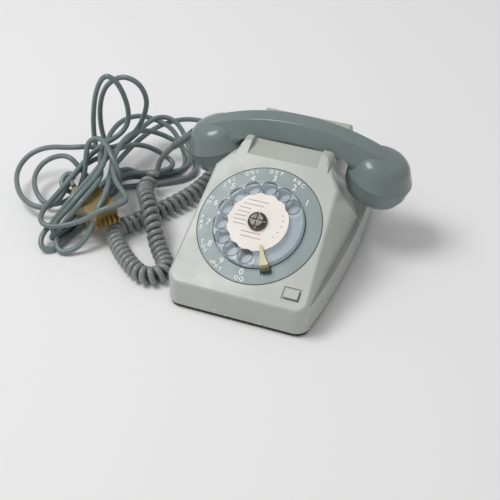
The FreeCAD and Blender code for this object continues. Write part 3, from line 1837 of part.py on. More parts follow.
def hank():
    """The outer shape of the wound line cord, hollowed where the plug lies in it."""
    upright = new_body("tall_loops", at(0, TALL_LOOPS_Y, 0))
    across(upright, "XZ_Plane", TALL_LOOPS, TALL_LOOPS_DEPTH)
    bundle = loop_body("bundle", BUNDLE_PLAN, *BUNDLE_LEVELS)
    left = loop_body("left_loops", LEFT_LOOPS, *LEFT_LEVELS)
    right = loop_body("right_loops", RIGHT_LOOPS, *RIGHT_LEVELS)
    whole = combine("Fuse", "solid_hank", bundle, upright, left, right)
    room = new_body("plug_room", plug_frame(dim(0)))
    margin = size("plug_margin")
    x = size("plug_length") / 2
    low = x + size("boot_length") + margin
    high = x + size("contact_length") + margin
    y = size("plug_width") / 2 + margin
    tall = size("plug_height") / 2 + margin
    slab(room, [(-low, -y), (high, -y), (high, y), (-low, y)], -tall, tall)
    return combine("Cut", "line_cord_hank", whole, room)


def pulse_contacts():
    """The stack of contact springs that the dial opens and closes."""
    body = new_body("pulse_contacts", dial_frame())
    high = -size("wall") - size("dial_flange_thickness")
    place = (-size("contact_stack_x"), dim(0))
    slab(body, rectangle(place, size("contact_stack_width"), size("contact_stack_length")),
         high - size("contact_stack_height"), high)
    for drop in ("first_blade_drop", "second_blade_drop"):
        low = high - size(drop)
        blade = rectangle((place[0], size("contact_stack_length")), size("contact_blade_width"),
                          size("contact_blade_length"))
        slab(body, blade, low - size("contact_blade_thickness"), low)
    return body


def dial_return_spring():
    high = -size("wall") - size("dial_flange_thickness")
    low = second_level() + size("gear_thickness")
    return coil_spring("dial_return_spring", dial_frame(), size("return_spring_radius"),
                       size("spring_wire"), size("return_spring_turns"), low, high)


def all_parts():
    fill_sheet()
    return [
        housing(), base_plate(), rubber_feet(), base_screws(),
        dial_plate(), number_ring(), finger_stop(), finger_wheel(), dial_card(), hub_screw(), dial_shaft(),
        main_gear(), second_wheel(), governor_rotor(), governor_weights(), dial_bridge(),
        dial_return_spring(),
        pulse_contacts(),
        push_button(), button_spring(), button_switch(),
        hook_bar(), hook_spring(), hook_bridge(), hook_switch(),
        circuit_board(), transformer(), capacitor(), terminal_block(),
        ringer_bracket(), gong("gong_right", gong_places()[0]), gong("gong_left", gong_places()[1]),
        gong_screws(),
        clapper(), ringer_coil(),
        handset_body(), handset_cap("earpiece_cap", 1), handset_cap("mouthpiece_cap", -1),
        capsule("receiver_capsule", 1), capsule("microphone_capsule", -1), cord_sleeve(),
        gland("line_gland", size("line_exit_x")), gland("handset_gland", size("handset_exit_x")),
        tube("line_cord", LINE_ROUTE, size("cord_diameter")),
        tube("handset_cord_base_lead", BASE_LEAD_ROUTE, size("cord_diameter")),
        tube("handset_cord_coil", COIL_ROUTE, size("coil_diameter")),
        tube("handset_cord_top_lead", top_lead_route(), size("cord_diameter")),
        hank(), plug_body(), plug_cover(), plug_contacts(), plug_boot(),
    ]


def check_and_write(parts):
    DOC.recompute()
    faults = [item.Label for item in DOC.Objects if "Invalid" in item.State or "Error" in item.State]
    faults += [item.Label for item in parts if item.Shape.isNull() or not item.Shape.isValid()]
    if faults:
        raise SystemExit("Not built: " + ", ".join(faults))
    os.makedirs("parts", exist_ok=True)
    for item in parts:
        item.Shape.exportStep("parts/%s.step" % item.Label)
        print(item.Label, len(item.Shape.Solids), "solids, volume", round(item.Shape.Volume, 1))


check_and_write(all_parts())
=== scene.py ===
"""Looks of a grey desk telephone with a rotary dial: finishes, print, cords, floor, light and camera."""
import json
import math

import bmesh
import bpy
from mathutils import Matrix, Vector


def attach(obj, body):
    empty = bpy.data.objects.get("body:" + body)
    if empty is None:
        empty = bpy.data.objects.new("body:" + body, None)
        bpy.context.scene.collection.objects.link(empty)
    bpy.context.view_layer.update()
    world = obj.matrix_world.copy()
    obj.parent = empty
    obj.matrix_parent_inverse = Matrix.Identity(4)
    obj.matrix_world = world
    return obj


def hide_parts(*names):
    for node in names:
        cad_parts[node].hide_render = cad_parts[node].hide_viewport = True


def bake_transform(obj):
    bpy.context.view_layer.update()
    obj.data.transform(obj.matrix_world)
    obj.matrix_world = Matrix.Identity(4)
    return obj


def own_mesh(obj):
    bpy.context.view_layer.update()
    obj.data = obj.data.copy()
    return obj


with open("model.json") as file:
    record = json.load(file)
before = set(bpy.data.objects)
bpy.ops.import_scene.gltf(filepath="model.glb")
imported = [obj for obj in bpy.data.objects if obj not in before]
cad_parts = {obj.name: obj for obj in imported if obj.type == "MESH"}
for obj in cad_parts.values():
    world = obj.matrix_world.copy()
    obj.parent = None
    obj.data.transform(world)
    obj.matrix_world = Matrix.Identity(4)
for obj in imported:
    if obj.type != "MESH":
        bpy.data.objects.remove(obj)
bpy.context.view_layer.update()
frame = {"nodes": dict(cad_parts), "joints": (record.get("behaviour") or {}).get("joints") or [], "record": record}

MM = 0.001
NODES = frame["nodes"]
JOINTS = {joint["name"]: joint for joint in frame["joints"]}

# Dial: its centre on the sloping face, its outward normal and its up-slope direction
DIAL_CENTRE = Vector(JOINTS["dial_turn"]["pos_m"])
DIAL_NORMAL = -Vector(JOINTS["dial_turn"]["axis"])
DIAL_RIGHT = Vector((1, 0, 0))
DIAL_UP = DIAL_NORMAL.cross(DIAL_RIGHT)

# Camera: place in millimetres, angles in degrees, focal length and picture width in pixels
CAMERA_PLACE = (271.14, -753.29, 646.51)
CAMERA_YAW = 21.44
CAMERA_PITCH = 38.85
CAMERA_ROLL = -0.13
FOCAL_PIXELS = 1159.0
PICTURE_PIXELS = 500.0
SENSOR_WIDTH = 36.0

# Cords: diameters in millimetres
LINE_DIAMETER = 5.0
CURLY_DIAMETER = 5.5
CURLY_OUTER = 16.6

# The line cord: free stretch from its gland, then the loops of the loose hank in the order they were wound
LINE_FREE = (
    (-15, 115, 12), (-15, 126, 12), (-21, 139, 10), (-35, 150, 8), (-56, 156, 9), (-80, 158, 11),
    (-106, 155, 14), (-130, 150, 17), (-149, 145, 19), (-161, 131, 21), (-168, 112, 24), (-173, 88, 25),
    (-178, 62, 22), (-180, 40, 19),
)
LINE_FIRST_TURN = (
    (-178, 14, 10), (-179, -8, 5), (-182, -28, 3), (-186, -46, 3), (-188, -58, 4), (-191, -64, 8),
    (-184, -55, 15), (-175.5, -49.5, 27), (-169.5, -43, 37), (-166, -29.5, 41), (-166, -12, 41.5),
    (-171, 3, 39), (-180, 18, 38), (-187, 33, 39.5), (-191, 50, 37), (-194, 72, 40), (-193, 96, 38),
    (-184, 113, 34), (-170, 119, 28), (-155, 119, 23), (-143, 112, 15), (-133, 102, 8), (-127, 90, 4),
    (-128, 78, 3), (-137, 67, 3), (-149, 58, 4), (-162, 49, 8), (-171, 34, 12),
)
LINE_SECOND_TURN = (
    (-172, 12, 9), (-173, -8, 5), (-176, -28, 3), (-179, -46, 3), (-180, -60, 3), (-184, -73, 3),
    (-193, -77, 5), (-198, -67, 11), (-193, -52, 17), (-186, -44.5, 28), (-178.5, -37, 39),
    (-176, -13.6, 41), (-174.6, 9.7, 44), (-174, 28, 44), (-171, 44, 42), (-165, 57, 39), (-157, 67, 33),
    (-148, 75, 24), (-139, 79, 15), (-132, 74, 13.5), (-133, 64, 13.5), (-143, 55, 14), (-155, 47, 15),
    (-166, 38, 18),
)
LINE_TALL_TURN = (
    (-174, 14, 15), (-176, -8, 10.5), (-180, -28, 8.5), (-183, -45, 8.5), (-186, -58, 9.5), (-190, -62, 15),
    (-187, -51, 22), (-179, -45, 32), (-173, -34, 40.5), (-170.6, -13, 42.5), (-170, 4, 46),
    (-173, 20, 49.5), (-180, 34, 49), (-188, 43, 43), (-197, 51, 24), (-205, 57, 21), (-209, 61, 36),
    (-208, 62, 60), (-203, 63, 87), (-193, 64, 105), (-182, 66, 99), (-175, 68, 80), (-174, 70, 60),
    (-177, 67, 48), (-183, 58, 42), (-191, 45, 40),
)
LINE_PLUG_TURN = (
    (-198, 24, 35), (-202, 6, 28), (-204, -14, 25), (-205, -34, 24), (-205, -52, 23), (-199, -63, 22),
    (-188, -64, 21), (-176, -58, 22), (-162, -52, 27), (-147, -43, 37), (-136, -35, 38.5),
    (-131, -25, 38.5), (-139, -16, 38.5), (-153, -5, 40), (-165, 12, 44), (-169, 34, 48), (-172, 56, 45),
    (-172, 77, 40), (-164, 91, 34), (-152, 98, 27), (-140, 101, 20), (-129, 98, 13), (-121, 89, 9),
    (-122, 78, 8.5), (-131, 68, 8.5), (-144, 59, 9), (-157, 51, 11), (-169, 40, 23),
)
LINE_LOW_TURN = (
    (-180, 14, 16), (-182, -8, 11), (-186, -28, 9), (-188, -44, 9), (-187, -61, 9), (-177, -75, 3),
    (-163, -67, 5), (-155, -54, 17), (-153, -42, 33), (-152, -31, 39), (-155, -17, 40), (-162, 2, 37),
    (-169, 18, 34), (-178, 38, 32), (-190, 58, 24), (-201, 69, 23), (-208, 74, 36), (-208, 75, 60),
    (-202, 76, 81), (-191, 77, 93), (-179, 78, 98), (-166, 80, 92), (-160, 82, 76), (-164, 84, 58),
    (-171, 83, 42), (-177, 74, 33), (-184, 62, 29), (-193, 51, 31),
)
LINE_LEFT_TURN = (
    (-203, 40, 38), (-219, 33, 37), (-246, 34, 31), (-261, 23, 25), (-262, 1, 19), (-247, -22, 15),
    (-229, -33, 13), (-213, -32, 12), (-206, -18, 14), (-205, 0, 21), (-203, 16, 27), (-196, 33, 29),
    (-188, 49, 27), (-182, 66, 28), (-178, 86, 28), (-176, 105, 30), (-169, 122, 31), (-156, 128, 27),
    (-145, 124, 19), (-136, 116, 10), (-126, 106, 4), (-118, 95, 3), (-113, 83, 3), (-117, 70, 3),
    (-129, 60, 3), (-143, 50, 3), (-157, 42, 3), (-170, 33, 3.5),
)
LINE_LAST_TURN = (
    (-183, 27, 5), (-196, 23, 13), (-205, 22, 25), (-216, 25, 33), (-232, 28, 28), (-244, 20, 22),
    (-244, 2, 17), (-233, -14, 13), (-218, -23, 9), (-206, -13, 7), (-199, 2, 9), (-195, 13, 24),
    (-196, 21, 41), (-197, 29, 52), (-188, 33, 56), (-177, 27, 55), (-164, 14, 50), (-155, 7, 40),
    (-154, 4, 29), (-161, 2, 17), (-174, 1, 15), (-188, -1, 15), (-199, -3, 14),
)
LINE_PLUG_END = (
    (-209, -3, 15), (-215, 3, 18.5), (-213.5, 11, 22.5), (-206.5, 11, 25), (-203.5, 3, 25.1),
    (-200, -3.5, 25.1), (-195.2, -6.9, 25.1),
)
LINE_ROUTE = (
    LINE_FREE + LINE_FIRST_TURN + LINE_SECOND_TURN + LINE_TALL_TURN + LINE_PLUG_TURN + LINE_LOW_TURN
    + LINE_LEFT_TURN + LINE_LAST_TURN + LINE_PLUG_END
)

# The handset cord: lead from the base, curly stretch, lead into the handset
BASE_LEAD = (
    (-41, 115, 12), (-41, 125.6, 12), (-48, 136.5, 10), (-61, 142.5, 7.5), (-76, 142, 6), (-86, 136, 5.2),
    (-92, 125.6, 5.6), (-92.6, 112, 7.4), (-92.7, 98, 8.6),
)
CURLY_STRETCH = (
    (-92, 84, 8.6), (-93.5, 66, 8.6), (-97, 49, 8.6), (-102, 35, 8.6), (-108, 23, 8.6), (-114, 11.5, 8.6),
    (-121, 0, 8.6), (-128, -12, 8.6), (-135, -22, 8.6), (-141, -31, 8.6), (-138, -42, 8.6),
    (-128, -54, 8.6), (-115, -66, 8.6), (-102, -76, 8.6), (-91.2, -81.1, 8.6), (-82.4, -79.1, 8.6),
    (-76.8, -72, 8.6), (-77, -63, 8.6), (-89, -49, 8.6), (-99, -37, 12), (-107, -25, 20), (-116, -13, 26),
    (-128, 5, 24.5), (-138, 22, 16), (-141, 37, 15), (-137, 45, 19),
)
TOP_LEAD = ((-136, 48.4, 26), (-134, 50, 34), (-125.8, 51.5, 45.4), (-120.1, 51.5, 51))

# Turns of the handset cord, in millimetres: leads, run in which they grow, and pitch by share of the stretch
CURLY_START = 92.0
CURLY_END_LEAD = 34.0
CURLY_RAMP = 9.0
CURLY_PITCH = ((0.0, 8.0), (0.3, 7.4), (0.42, 6.2), (0.62, 6.2), (0.8, 7.4), (0.92, 9.0), (1.0, 12.5))

# Fineness of the cords: points along each stretch and sides of the tube
HELIX_STEPS = 26
TUBE_SIDES = 10
LINE_STEPS = 8
LINE_BEVEL_STEPS = 3

# Dial print: digit, its letters, its angle in degrees and the way that the letters run
DIAL_PRINT = (
    ("1", "", 40.6, -1), ("2", "ABC", 64.9, -1), ("3", "DEF", 90.5, -1), ("4", "GHI", 115.3, -1),
    ("5", "JKL", 139.2, -1), ("6", "MN", 165.9, -1), ("7", "PRS", 190.3, 1), ("8", "TUV", 216.5, 1),
    ("9", "WXY", 241.9, 1), ("0", "OQ", 268.5, 1),
)
DIGIT_RADIUS = 43.6
LETTER_RADIUS = 49.4
LETTER_STEP = 5.3
DIGIT_SIZE = 7.6
LETTER_SIZE = 4.7
PRINT_DEPTH = 0.04
PRINT_WEIGHT = 0.1

# Card rules: their width, and start, end and height of each on the card
RULE_WIDTH = 0.5
CARD_RULES = (
    (-14, 4, 18), (-17, 1, 14), (-19, -9.5, 10), (-20, -9.5, 6.3), (-21, -11, 2.6), (-21, -9.5, -1.1),
    (-20, -9.5, -4.8), (-12, 6, -10.5), (-11, 7, -14.5),
    (18, 20, 10), (19.5, 21.5, 5.5), (19.5, 21.5, 0.5), (18, 20, -5), (15.5, 17.5, -10),
)

# Finger holes: circle they stand on, radius, first angle and step in degrees, and width of the ring of painted
# shade at their edge
HOLE_CIRCLE = 31.2
HOLE_RADIUS = 6.2
HOLE_FIRST = 39.4
HOLE_STEP = 25.5
HOLE_COUNT = 10
HOLE_SHADE_WIDTH = 0.8
HOLE_STEPS = 40

# Stage, in metres and watts: half the floor's width, strength of the surround, and the lamp
FLOOR_REACH = 6.0
SURROUND_STRENGTH = 0.45
LAMP_PLACE = (-0.95, -0.35, 1.9)
LAMP_TARGET = (0, 0, 0.05)
LAMP_SIZE = 0.9
LAMP_POWER = 22.0


def metres(point):
    """A point in millimetres as a vector in metres."""
    return Vector(point) * MM


def on_dial(x, y, height):
    """A point of the dial's own frame, in millimetres, as a place in the shared frame."""
    return DIAL_CENTRE + (DIAL_RIGHT * x + DIAL_UP * y + DIAL_NORMAL * height) * MM


def dial_height(node):
    """How far a node stands above the dial's centre along the normal, in millimetres."""
    return max((vertex.co - DIAL_CENTRE).dot(DIAL_NORMAL) for vertex in NODES[node].data.vertices) / MM


def new_piece(name, mesh, material):
    """A mesh object in the scene with one material."""
    piece = bpy.data.objects.new(name, mesh)
    bpy.context.scene.collection.objects.link(piece)
    mesh.materials.clear()
    mesh.materials.append(material)
    return piece


# Materials
def new_material(name, **values):
    """A node material whose shader sockets have the given values; underscores stand for spaces."""
    material = bpy.data.materials.new(name)
    material.use_nodes = True
    shader = material.node_tree.nodes["Principled BSDF"]
    for socket, value in values.items():
        shader.inputs[socket.replace("_", " ")].default_value = value
    return material


def srgb(red, green, blue):
    """A colour written as 0 to 255 in the usual screen values, as the linear colour of a socket."""
    def linear(value):
        share = value / 255
        return share / 12.92 if share <= 0.04045 else ((share + 0.055) / 1.055) ** 2.4
    return (linear(red), linear(green), linear(blue), 1)


def noise(material, scale, detail=3.0, stretch=(1, 1, 1)):
    """The value of a noise that is fixed to the object, with its scale in waves per metre."""
    tree = material.node_tree
    place = tree.nodes.new("ShaderNodeTexCoord")
    mapping = tree.nodes.new("ShaderNodeMapping")
    mapping.inputs["Scale"].default_value = stretch
    texture = tree.nodes.new("ShaderNodeTexNoise")
    texture.inputs["Scale"].default_value = scale
    texture.inputs["Detail"].default_value = detail
    tree.links.new(place.outputs["Object"], mapping.inputs["Vector"])
    tree.links.new(mapping.outputs["Vector"], texture.inputs["Vector"])
    return texture.outputs["Fac"]


def spread(material, value, low, high, to_low, to_high):
    """A value between low and high spread over another range."""
    node = material.node_tree.nodes.new("ShaderNodeMapRange")
    for socket, number in zip(("From Min", "From Max", "To Min", "To Max"), (low, high, to_low, to_high)):
        node.inputs[socket].default_value = number
    material.node_tree.links.new(value, node.inputs["Value"])
    return node.outputs["Result"]


# Numbers of the colour sockets of a mix node
MIX_FIRST = 6
MIX_SECOND = 7
MIX_RESULT = 2


def mixed(material, share, first, second):
    """Two colours mixed by a share; either may be a colour or an output."""
    tree = material.node_tree
    node = tree.nodes.new("ShaderNodeMix")
    node.data_type = "RGBA"
    tree.links.new(share, node.inputs["Factor"])
    for socket, colour in ((node.inputs[MIX_FIRST], first), (node.inputs[MIX_SECOND], second)):
        if isinstance(colour, tuple):
            socket.default_value = colour
        else:
            tree.links.new(colour, socket)
    return node.outputs[MIX_RESULT]


def link(material, output, socket):
    """Joins an output to one of the shader's sockets."""
    shader = material.node_tree.nodes["Principled BSDF"]
    material.node_tree.links.new(output, shader.inputs[socket])


def bump(material, height, distance, strength=1.0):
    """Relief of the surface, with its depth in millimetres."""
    node = material.node_tree.nodes.new("ShaderNodeBump")
    node.inputs["Distance"].default_value = distance * MM
    node.inputs["Strength"].default_value = strength
    material.node_tree.links.new(height, node.inputs["Height"])
    link(material, node.outputs["Normal"], "Normal")


def plastic(name, colour, other, roughness=(0.3, 0.45), grain=900.0, relief=0.02, **values):
    """Moulded plastic: cloudy colour, uneven gloss and a fine grain."""
    material = new_material(name, **values)
    clouds = spread(material, noise(material, scale=22.0, detail=6.0), 0.35, 0.7, 0, 1)
    link(material, mixed(material, clouds, colour, other), "Base Color")
    gloss = noise(material, scale=60.0, detail=5.0)
    link(material, spread(material, gloss, 0.3, 0.7, *roughness), "Roughness")
    bump(material, noise(material, scale=grain, detail=2.0), relief, 0.5)
    return material


# Nicks: heights in metres between which they grow rare, how rare, noise level of their edge, size and form
NICK_HEIGHTS = (0.012, 0.030)
NICK_FADE = 0.09
NICK_EDGE = (0.66, 0.68)
NICK_SCALE = 190.0
NICK_STRETCH = (1, 1, 1.6)


def shell(name, colour, other, worn):
    """The housing's plastic, with small pale nicks low on its walls."""
    material = plastic(name, colour, other, (0.24, 0.36))
    tree = material.node_tree
    place = tree.nodes.new("ShaderNodeTexCoord")
    parts = tree.nodes.new("ShaderNodeSeparateXYZ")
    tree.links.new(place.outputs["Object"], parts.inputs["Vector"])
    low = spread(material, parts.outputs["Z"], *NICK_HEIGHTS, 0.0, NICK_FADE)
    marks = tree.nodes.new("ShaderNodeMath")
    marks.operation = "SUBTRACT"
    tree.links.new(noise(material, scale=NICK_SCALE, detail=2.0, stretch=NICK_STRETCH), marks.inputs[0])
    tree.links.new(low, marks.inputs[1])
    clouds = tree.nodes["Principled BSDF"].inputs["Base Color"].links[0].from_socket
    nicks = spread(material, marks.outputs["Value"], *NICK_EDGE, 0, 1)
    link(material, mixed(material, nicks, clouds, worn), "Base Color")
    return material


def metal(name, colour, other, roughness=(0.25, 0.4), stretch=(1, 1, 14)):
    """Metal with fine drawn lines and dull patches."""
    material = new_material(name, Metallic=1.0)
    lines = noise(material, scale=260.0, detail=3.0, stretch=stretch)
    patches = spread(material, noise(material, scale=70.0), 0.35, 0.65, 0, 1)
    link(material, mixed(material, patches, colour, other), "Base Color")
    link(material, spread(material, lines, 0.3, 0.7, *roughness), "Roughness")
    bump(material, lines, 0.01, 0.4)
    return material


def clear_plastic():
    """Clear dial plastic with a cold tint, its pale colour a painted sheen in noisy patches."""
    material = new_material("clear_plastic", Alpha=0.34, Coat_Weight=0.3, Coat_Roughness=0.15)
    sheen_patches = spread(material, noise(material, scale=45.0, detail=4.0), 0.45, 0.8, 0, 1)
    # The pale colours are painted sheen, standing in for the reflection on the clear wheel.
    link(material, mixed(material, sheen_patches, srgb(182, 197, 207), srgb(218, 227, 233)), "Base Color")
    link(material, spread(material, sheen_patches, 0, 1, 0.2, 0.32), "Roughness")
    bump(material, noise(material, scale=300.0, detail=2.0), 0.002, 0.2)
    return material


def paper(name, colour, other):
    """Printed card with a faint fibre."""
    material = new_material(name, Specular_IOR_Level=0.25)
    fibre = noise(material, scale=700.0, detail=5.0, stretch=(1, 3, 1))
    patches = spread(material, noise(material, scale=80.0), 0.4, 0.7, 0, 1)
    link(material, mixed(material, patches, colour, other), "Base Color")
    link(material, spread(material, fibre, 0.3, 0.7, 0.75, 0.95), "Roughness")
    bump(material, fibre, 0.01, 0.4)
    return material


def slot_materials():
    """The finish of every material slot of the record."""
    return {
        "shell_grey": shell("shell_grey", srgb(187, 192, 185), srgb(180, 184, 176), srgb(216, 217, 207)),
        "base_black": plastic("base_black", srgb(34, 34, 33), srgb(44, 43, 41), (0.5, 0.7), relief=0.05),
        "foot_rubber": plastic("foot_rubber", srgb(30, 30, 30), srgb(40, 39, 38), (0.7, 0.9), relief=0.05),
        "steel": metal("steel", srgb(176, 177, 175), srgb(150, 150, 147)),
        "dial_dark": plastic("dial_dark", srgb(156, 171, 182), srgb(148, 163, 174), (0.2, 0.32)),
        "ring_grey": plastic("ring_grey", srgb(129, 146, 146), srgb(122, 139, 139), (0.24, 0.34)),
        "stop_metal": plastic("stop_metal", srgb(172, 164, 140), srgb(146, 137, 108), (0.3, 0.45),
                              Metallic=0.35),
        "clear_plastic": clear_plastic(),
        "card_paper": paper("card_paper", srgb(255, 248, 242), srgb(250, 240, 232)),
        "hub_metal": metal("hub_metal", srgb(104, 102, 95), srgb(80, 78, 72), (0.3, 0.45), (1, 1, 1)),
        "brass": metal("brass", srgb(206, 172, 96), srgb(178, 142, 70)),
        "board_resin": plastic("board_resin", srgb(150, 106, 58), srgb(132, 90, 46), (0.4, 0.6)),
        "coil_winding": plastic("coil_winding", srgb(150, 84, 44), srgb(126, 66, 32), (0.35, 0.5),
                                grain=1400.0, relief=0.15),
        "capacitor_can": metal("capacitor_can", srgb(200, 200, 198), srgb(182, 182, 180)),
        "dark_plastic": plastic("dark_plastic", srgb(48, 47, 45), srgb(40, 39, 38), (0.4, 0.6)),
        "gong_steel": metal("gong_steel", srgb(206, 206, 202), srgb(190, 190, 186), (0.12, 0.22)),
        "handset_grey": plastic("handset_grey", srgb(124, 137, 136), srgb(117, 130, 128), (0.16, 0.24),
                                relief=0.008),
        "capsule_metal": metal("capsule_metal", srgb(190, 190, 186), srgb(172, 172, 168)),
        "cord_grey": plastic("cord_grey", srgb(124, 138, 140), srgb(112, 124, 124), (0.2, 0.34),
                             grain=500.0),
        # The ivory plug is painted darker here: painted shade from the cord hank above it.
        "plug_ivory": plastic("plug_ivory", srgb(160, 142, 100), srgb(130, 112, 72), (0.25, 0.4)),
    }


def dress_nodes(materials):
    """Gives each CAD node the finish of its slot."""
    for subpart in frame["record"]["subparts"]:
        mesh = NODES[subpart["node"]].data
        mesh.materials.clear()
        mesh.materials.append(materials[subpart["material_slot"]])


# Cords
def nurbs_curve(name, route, steps):
    """A curve with one open NURBS spline whose control points are the route, in metres."""
    curve = bpy.data.curves.new(name, "CURVE")
    curve.dimensions = "3D"
    spline = curve.splines.new("NURBS")
    spline.points.add(len(route) - 1)
    for point, place in zip(spline.points, route):
        point.co = (*metres(place), 1)
    spline.order_u = 3
    spline.use_endpoint_u = True
    spline.resolution_u = steps
    curve.resolution_u = steps
    return curve


def spline_points(name, route, steps):
    """Points read along the route's spline."""
    holder = bpy.data.objects.new(name, nurbs_curve(name, route, steps))
    mesh = bpy.data.meshes.new_from_object(holder)
    points = [vertex.co.copy() for vertex in mesh.vertices]
    bpy.data.meshes.remove(mesh)
    bpy.data.curves.remove(holder.data)
    return points


def frames_along(points):
    """A pair of cross directions at each point that turn as little as they can."""
    frames = []
    side = None
    for index, point in enumerate(points):
        before = points[max(index - 1, 0)]
        after = points[min(index + 1, len(points) - 1)]
        along = (after - before).normalized()
        if side is None:
            side = along.orthogonal()
        side = (side - along * side.dot(along)).normalized()
        frames.append((side.copy(), along.cross(side)))
    return frames


def tube_mesh(name, points, diameter, sides):
    """A closed round tube along the points."""
    shape = bmesh.new()
    rings = []
    for point, (side, other) in zip(points, frames_along(points)):
        ring = []
        for step in range(sides):
            angle = 2 * math.pi * step / sides
            offset = side * math.cos(angle) + other * math.sin(angle)
            ring.append(shape.verts.new(point + offset * (diameter / 2)))
        rings.append(ring)
    for ring, after in zip(rings, rings[1:]):
        for step in range(sides):
            shape.faces.new((ring[step], ring[(step + 1) % sides], after[(step + 1) % sides], after[step]))
    shape.faces.new(list(reversed(rings[0])))
    shape.faces.new(rings[-1])
    mesh = bpy.data.meshes.new(name)
    shape.to_mesh(mesh)
    shape.free()
    mesh.polygons.foreach_set("use_smooth", [True] * len(mesh.polygons))
    return mesh


def length_of(points):
    """Length of a line of points."""
    return sum((after - before).length for before, after in zip(points, points[1:]))


def pitch_at(share):
    """Pitch of the turns at a share of the curly stretch, in metres."""
    for (start, low), (end, high) in zip(CURLY_PITCH, CURLY_PITCH[1:]):
        if share <= end:
            return (low + (high - low) * (share - start) / (end - start)) * MM
    return CURLY_PITCH[-1][1] * MM


def curly_points(line):
    """The cord's own centreline: straight leads, and turns about the line between them."""
    total = length_of(line)
    start = CURLY_START * MM
    end = total - CURLY_END_LEAD * MM
    radius = (CURLY_OUTER - CURLY_DIAMETER) / 2 * MM
    points = []
    travelled = 0.0
    angle = 0.0
    before = line[0]
    for point, (side, other) in zip(line, frames_along(line)):
        step = (point - before).length
        travelled += step
        before = point
        share = min(max((travelled - start) / (end - start), 0.0), 1.0)
        if 0 < share < 1:
            angle += 2 * math.pi * step / pitch_at(share)
        grown = min((travelled - start) / (CURLY_RAMP * MM), (end - travelled) / (CURLY_RAMP * MM), 1.0)
        grown = max(grown, 0.0)
        reach = radius * grown * grown * (3 - 2 * grown)
        points.append(point + (side * math.cos(angle) + other * math.sin(angle)) * reach)
    return points


def add_handset_cord():
    """The curly cord from the base to the handset."""
    line = spline_points("handset_cord_line", BASE_LEAD + CURLY_STRETCH + TOP_LEAD, HELIX_STEPS)
    path = curly_points(line)
    mesh = tube_mesh("handset_cord", path, CURLY_DIAMETER * MM, TUBE_SIDES)
    finish = plastic("curly_grey", srgb(143, 149, 148), srgb(130, 134, 132), (0.2, 0.32), grain=500.0)
    cord = new_piece("handset_cord", mesh, finish)
    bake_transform(cord)
    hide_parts("handset_cord_base_lead", "handset_cord_coil", "handset_cord_top_lead")


def add_line_cord(materials):
    """The line cord from the base through its loose hank to the plug."""
    curve = nurbs_curve("line_cord_flex", LINE_ROUTE, LINE_STEPS)
    curve.bevel_depth = LINE_DIAMETER / 2 * MM
    curve.bevel_resolution = LINE_BEVEL_STEPS
    curve.use_fill_caps = True
    cord = bpy.data.objects.new("line_cord_flex", curve)
    bpy.context.scene.collection.objects.link(cord)
    curve.materials.append(materials["cord_grey"])
    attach(cord, "base")
    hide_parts("line_cord", "line_cord_hank")
    length = length_of(spline_points("line_cord_line", LINE_ROUTE, LINE_STEPS))


# Dial print
def add_glyph(shape, character, size, place):
    """Adds one upright printed character to the shape, at a place in the dial's frame."""
    font = bpy.data.curves.new("glyph", "FONT")
    font.body = character
    font.size = size * MM
    font.align_x = "CENTER"
    font.align_y = "CENTER"
    font.extrude = PRINT_DEPTH * MM
    font.offset = PRINT_WEIGHT * MM
    holder = bpy.data.objects.new("glyph", font)
    mesh = bpy.data.meshes.new_from_object(holder)
    turn = Matrix((DIAL_RIGHT, DIAL_UP, DIAL_NORMAL)).transposed().to_4x4()
    turn.translation = place
    mesh.transform(turn)
    shape.from_mesh(mesh)
    bpy.data.meshes.remove(mesh)
    bpy.data.curves.remove(font)


def dial_spot(radius, degrees, height):
    """A spot at a radius and an angle of the dial."""
    angle = math.radians(degrees)
    return on_dial(radius * math.cos(angle), radius * math.sin(angle), height)


def add_dial_print(ink):
    """The digits and letters on the number ring."""
    digits = bmesh.new()
    letters = bmesh.new()
    height = dial_height("number_ring")
    for digit, group, degrees, way in DIAL_PRINT:
        add_glyph(digits, digit, DIGIT_SIZE, dial_spot(DIGIT_RADIUS, degrees, height))
        for index, letter in enumerate(group):
            spot = degrees + way * LETTER_STEP * (index - (len(group) - 1) / 2)
            add_glyph(letters, letter, LETTER_SIZE, dial_spot(LETTER_RADIUS, spot, height))
    for name, shape in (("dial_digits", digits), ("dial_letters", letters)):
        mesh = bpy.data.meshes.new(name)
        shape.to_mesh(mesh)
        shape.free()
        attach(new_piece(name, mesh, ink), "base")


def flat_mesh(name, loops):
    """A mesh of flat faces from loops of points."""
    shape = bmesh.new()
    for loop in loops:
        shape.faces.new([shape.verts.new(point) for point in loop])
    mesh = bpy.data.meshes.new(name)
    shape.to_mesh(mesh)
    shape.free()
    return mesh


def add_card_rules(ink):
    """Plain ruled lines on the card."""
    height = dial_height("dial_card") + PRINT_DEPTH
    loops = []
    for start, end, level in CARD_RULES:
        low = level - RULE_WIDTH / 2
        high = level + RULE_WIDTH / 2
        corners = ((start, low), (end, low), (end, high), (start, high))
        loops.append([on_dial(x, y, height) for x, y in corners])
    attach(new_piece("card_rules", flat_mesh("card_rules", loops), ink), "dial")


def add_finger_hole_shade(material):
    """Dark rings of painted shade at the edge of each finger hole."""
    height = dial_height("finger_wheel") + PRINT_DEPTH
    loops = []
    for number in range(HOLE_COUNT):
        angle = math.radians(HOLE_FIRST + HOLE_STEP * number)
        centre = Vector((math.cos(angle), math.sin(angle))) * HOLE_CIRCLE
        for step in range(HOLE_STEPS):
            corners = ((step, 0), (step + 1, 0), (step + 1, HOLE_SHADE_WIDTH), (step, HOLE_SHADE_WIDTH))
            loop = []
            for turn, out in corners:
                heading = 2 * math.pi * turn / HOLE_STEPS
                spot = centre + Vector((math.cos(heading), math.sin(heading))) * (HOLE_RADIUS + out)
                loop.append(on_dial(spot.x, spot.y, height))
            loops.append(loop)
    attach(new_piece("finger_hole_shade_rings", flat_mesh("finger_hole_shade_rings", loops), material), "dial")


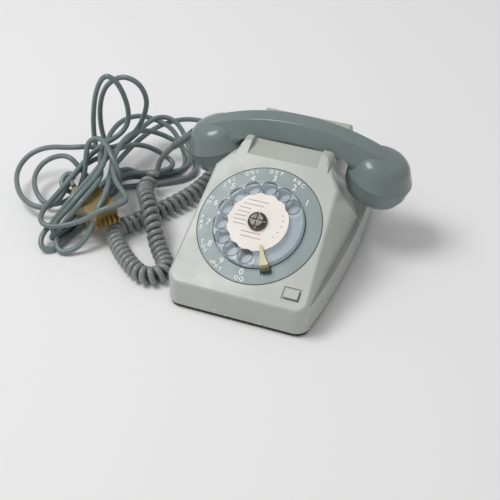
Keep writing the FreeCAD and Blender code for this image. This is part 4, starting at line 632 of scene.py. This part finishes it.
# Button spring
def add_button_spring(materials):
    """The button's spring, as a piece with its own copy of the CAD spring's mesh."""
    mesh = NODES["button_spring"].data.copy()
    spring = new_piece("button_spring_coil", mesh, materials["steel"])
    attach(spring, "base")
    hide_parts("button_spring")
    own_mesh(spring)


# Stage
def add_floor():
    """A plain pale floor that keeps the object's shadow."""
    mesh = bpy.data.meshes.new("floor")
    corners = [(x * FLOOR_REACH, y * FLOOR_REACH, 0) for x, y in ((-1, -1), (1, -1), (1, 1), (-1, 1))]
    mesh.from_pydata(corners, [], [(0, 1, 2, 3)])
    pale = new_material("floor", Base_Color=srgb(246, 246, 246), Roughness=0.9, Specular_IOR_Level=0.1)
    floor = new_piece("floor", mesh, pale)


def add_lamp(name, place, target, size, power):
    """A soft square lamp that faces the target."""
    data = bpy.data.lights.new(name, "AREA")
    data.size = size
    data.energy = power
    lamp = bpy.data.objects.new(name, data)
    bpy.context.scene.collection.objects.link(lamp)
    lamp.location = place
    lamp.rotation_euler = (Vector(target) - Vector(place)).to_track_quat("-Z", "Y").to_euler()


def light_the_stage():
    """Soft key light from the upper left and an even white surround."""
    world = bpy.data.worlds.new("surround")
    bpy.context.scene.world = world
    world.use_nodes = True
    surround = world.node_tree.nodes["Background"]
    surround.inputs["Color"].default_value = (1, 1, 1, 1)
    surround.inputs["Strength"].default_value = SURROUND_STRENGTH
    add_lamp("key_lamp", LAMP_PLACE, LAMP_TARGET, LAMP_SIZE, LAMP_POWER)


def aim_camera():
    """The camera at the photograph's place and angle."""
    yaw, pitch, roll = (math.radians(value) for value in (CAMERA_YAW, CAMERA_PITCH, CAMERA_ROLL))
    level = Vector((math.cos(yaw), math.sin(yaw), 0))
    back = Vector((math.sin(yaw) * math.cos(pitch), -math.cos(yaw) * math.cos(pitch), math.sin(pitch)))
    upright = back.cross(level)
    right = level * math.cos(roll) + upright * math.sin(roll)
    top = upright * math.cos(roll) - level * math.sin(roll)
    data = bpy.data.cameras.new("camera")
    data.sensor_width = SENSOR_WIDTH
    data.lens = FOCAL_PIXELS / PICTURE_PIXELS * SENSOR_WIDTH
    camera = bpy.data.objects.new("camera", data)
    bpy.context.scene.collection.objects.link(camera)
    place = Matrix((right, top, back)).transposed().to_4x4()
    place.translation = metres(CAMERA_PLACE)
    camera.matrix_world = place
    bpy.context.scene.camera = camera


bpy.context.scene.view_settings.view_transform = "Standard"
aim_camera()
finishes = slot_materials()
dress_nodes(finishes)
add_handset_cord()
add_line_cord(finishes)
add_button_spring(finishes)
add_dial_print(paper("white_ink", srgb(250, 251, 248), srgb(242, 244, 240)))
add_card_rules(paper("grey_ink", srgb(150, 142, 140), srgb(126, 118, 116)))
# Dark rings of painted shade stand for the shaded walls of the clear wheel's finger holes.
add_finger_hole_shade(plastic("hole_rim_shade", srgb(44, 52, 60), srgb(34, 41, 48), (0.25, 0.4)))
add_floor()
light_the_stage()
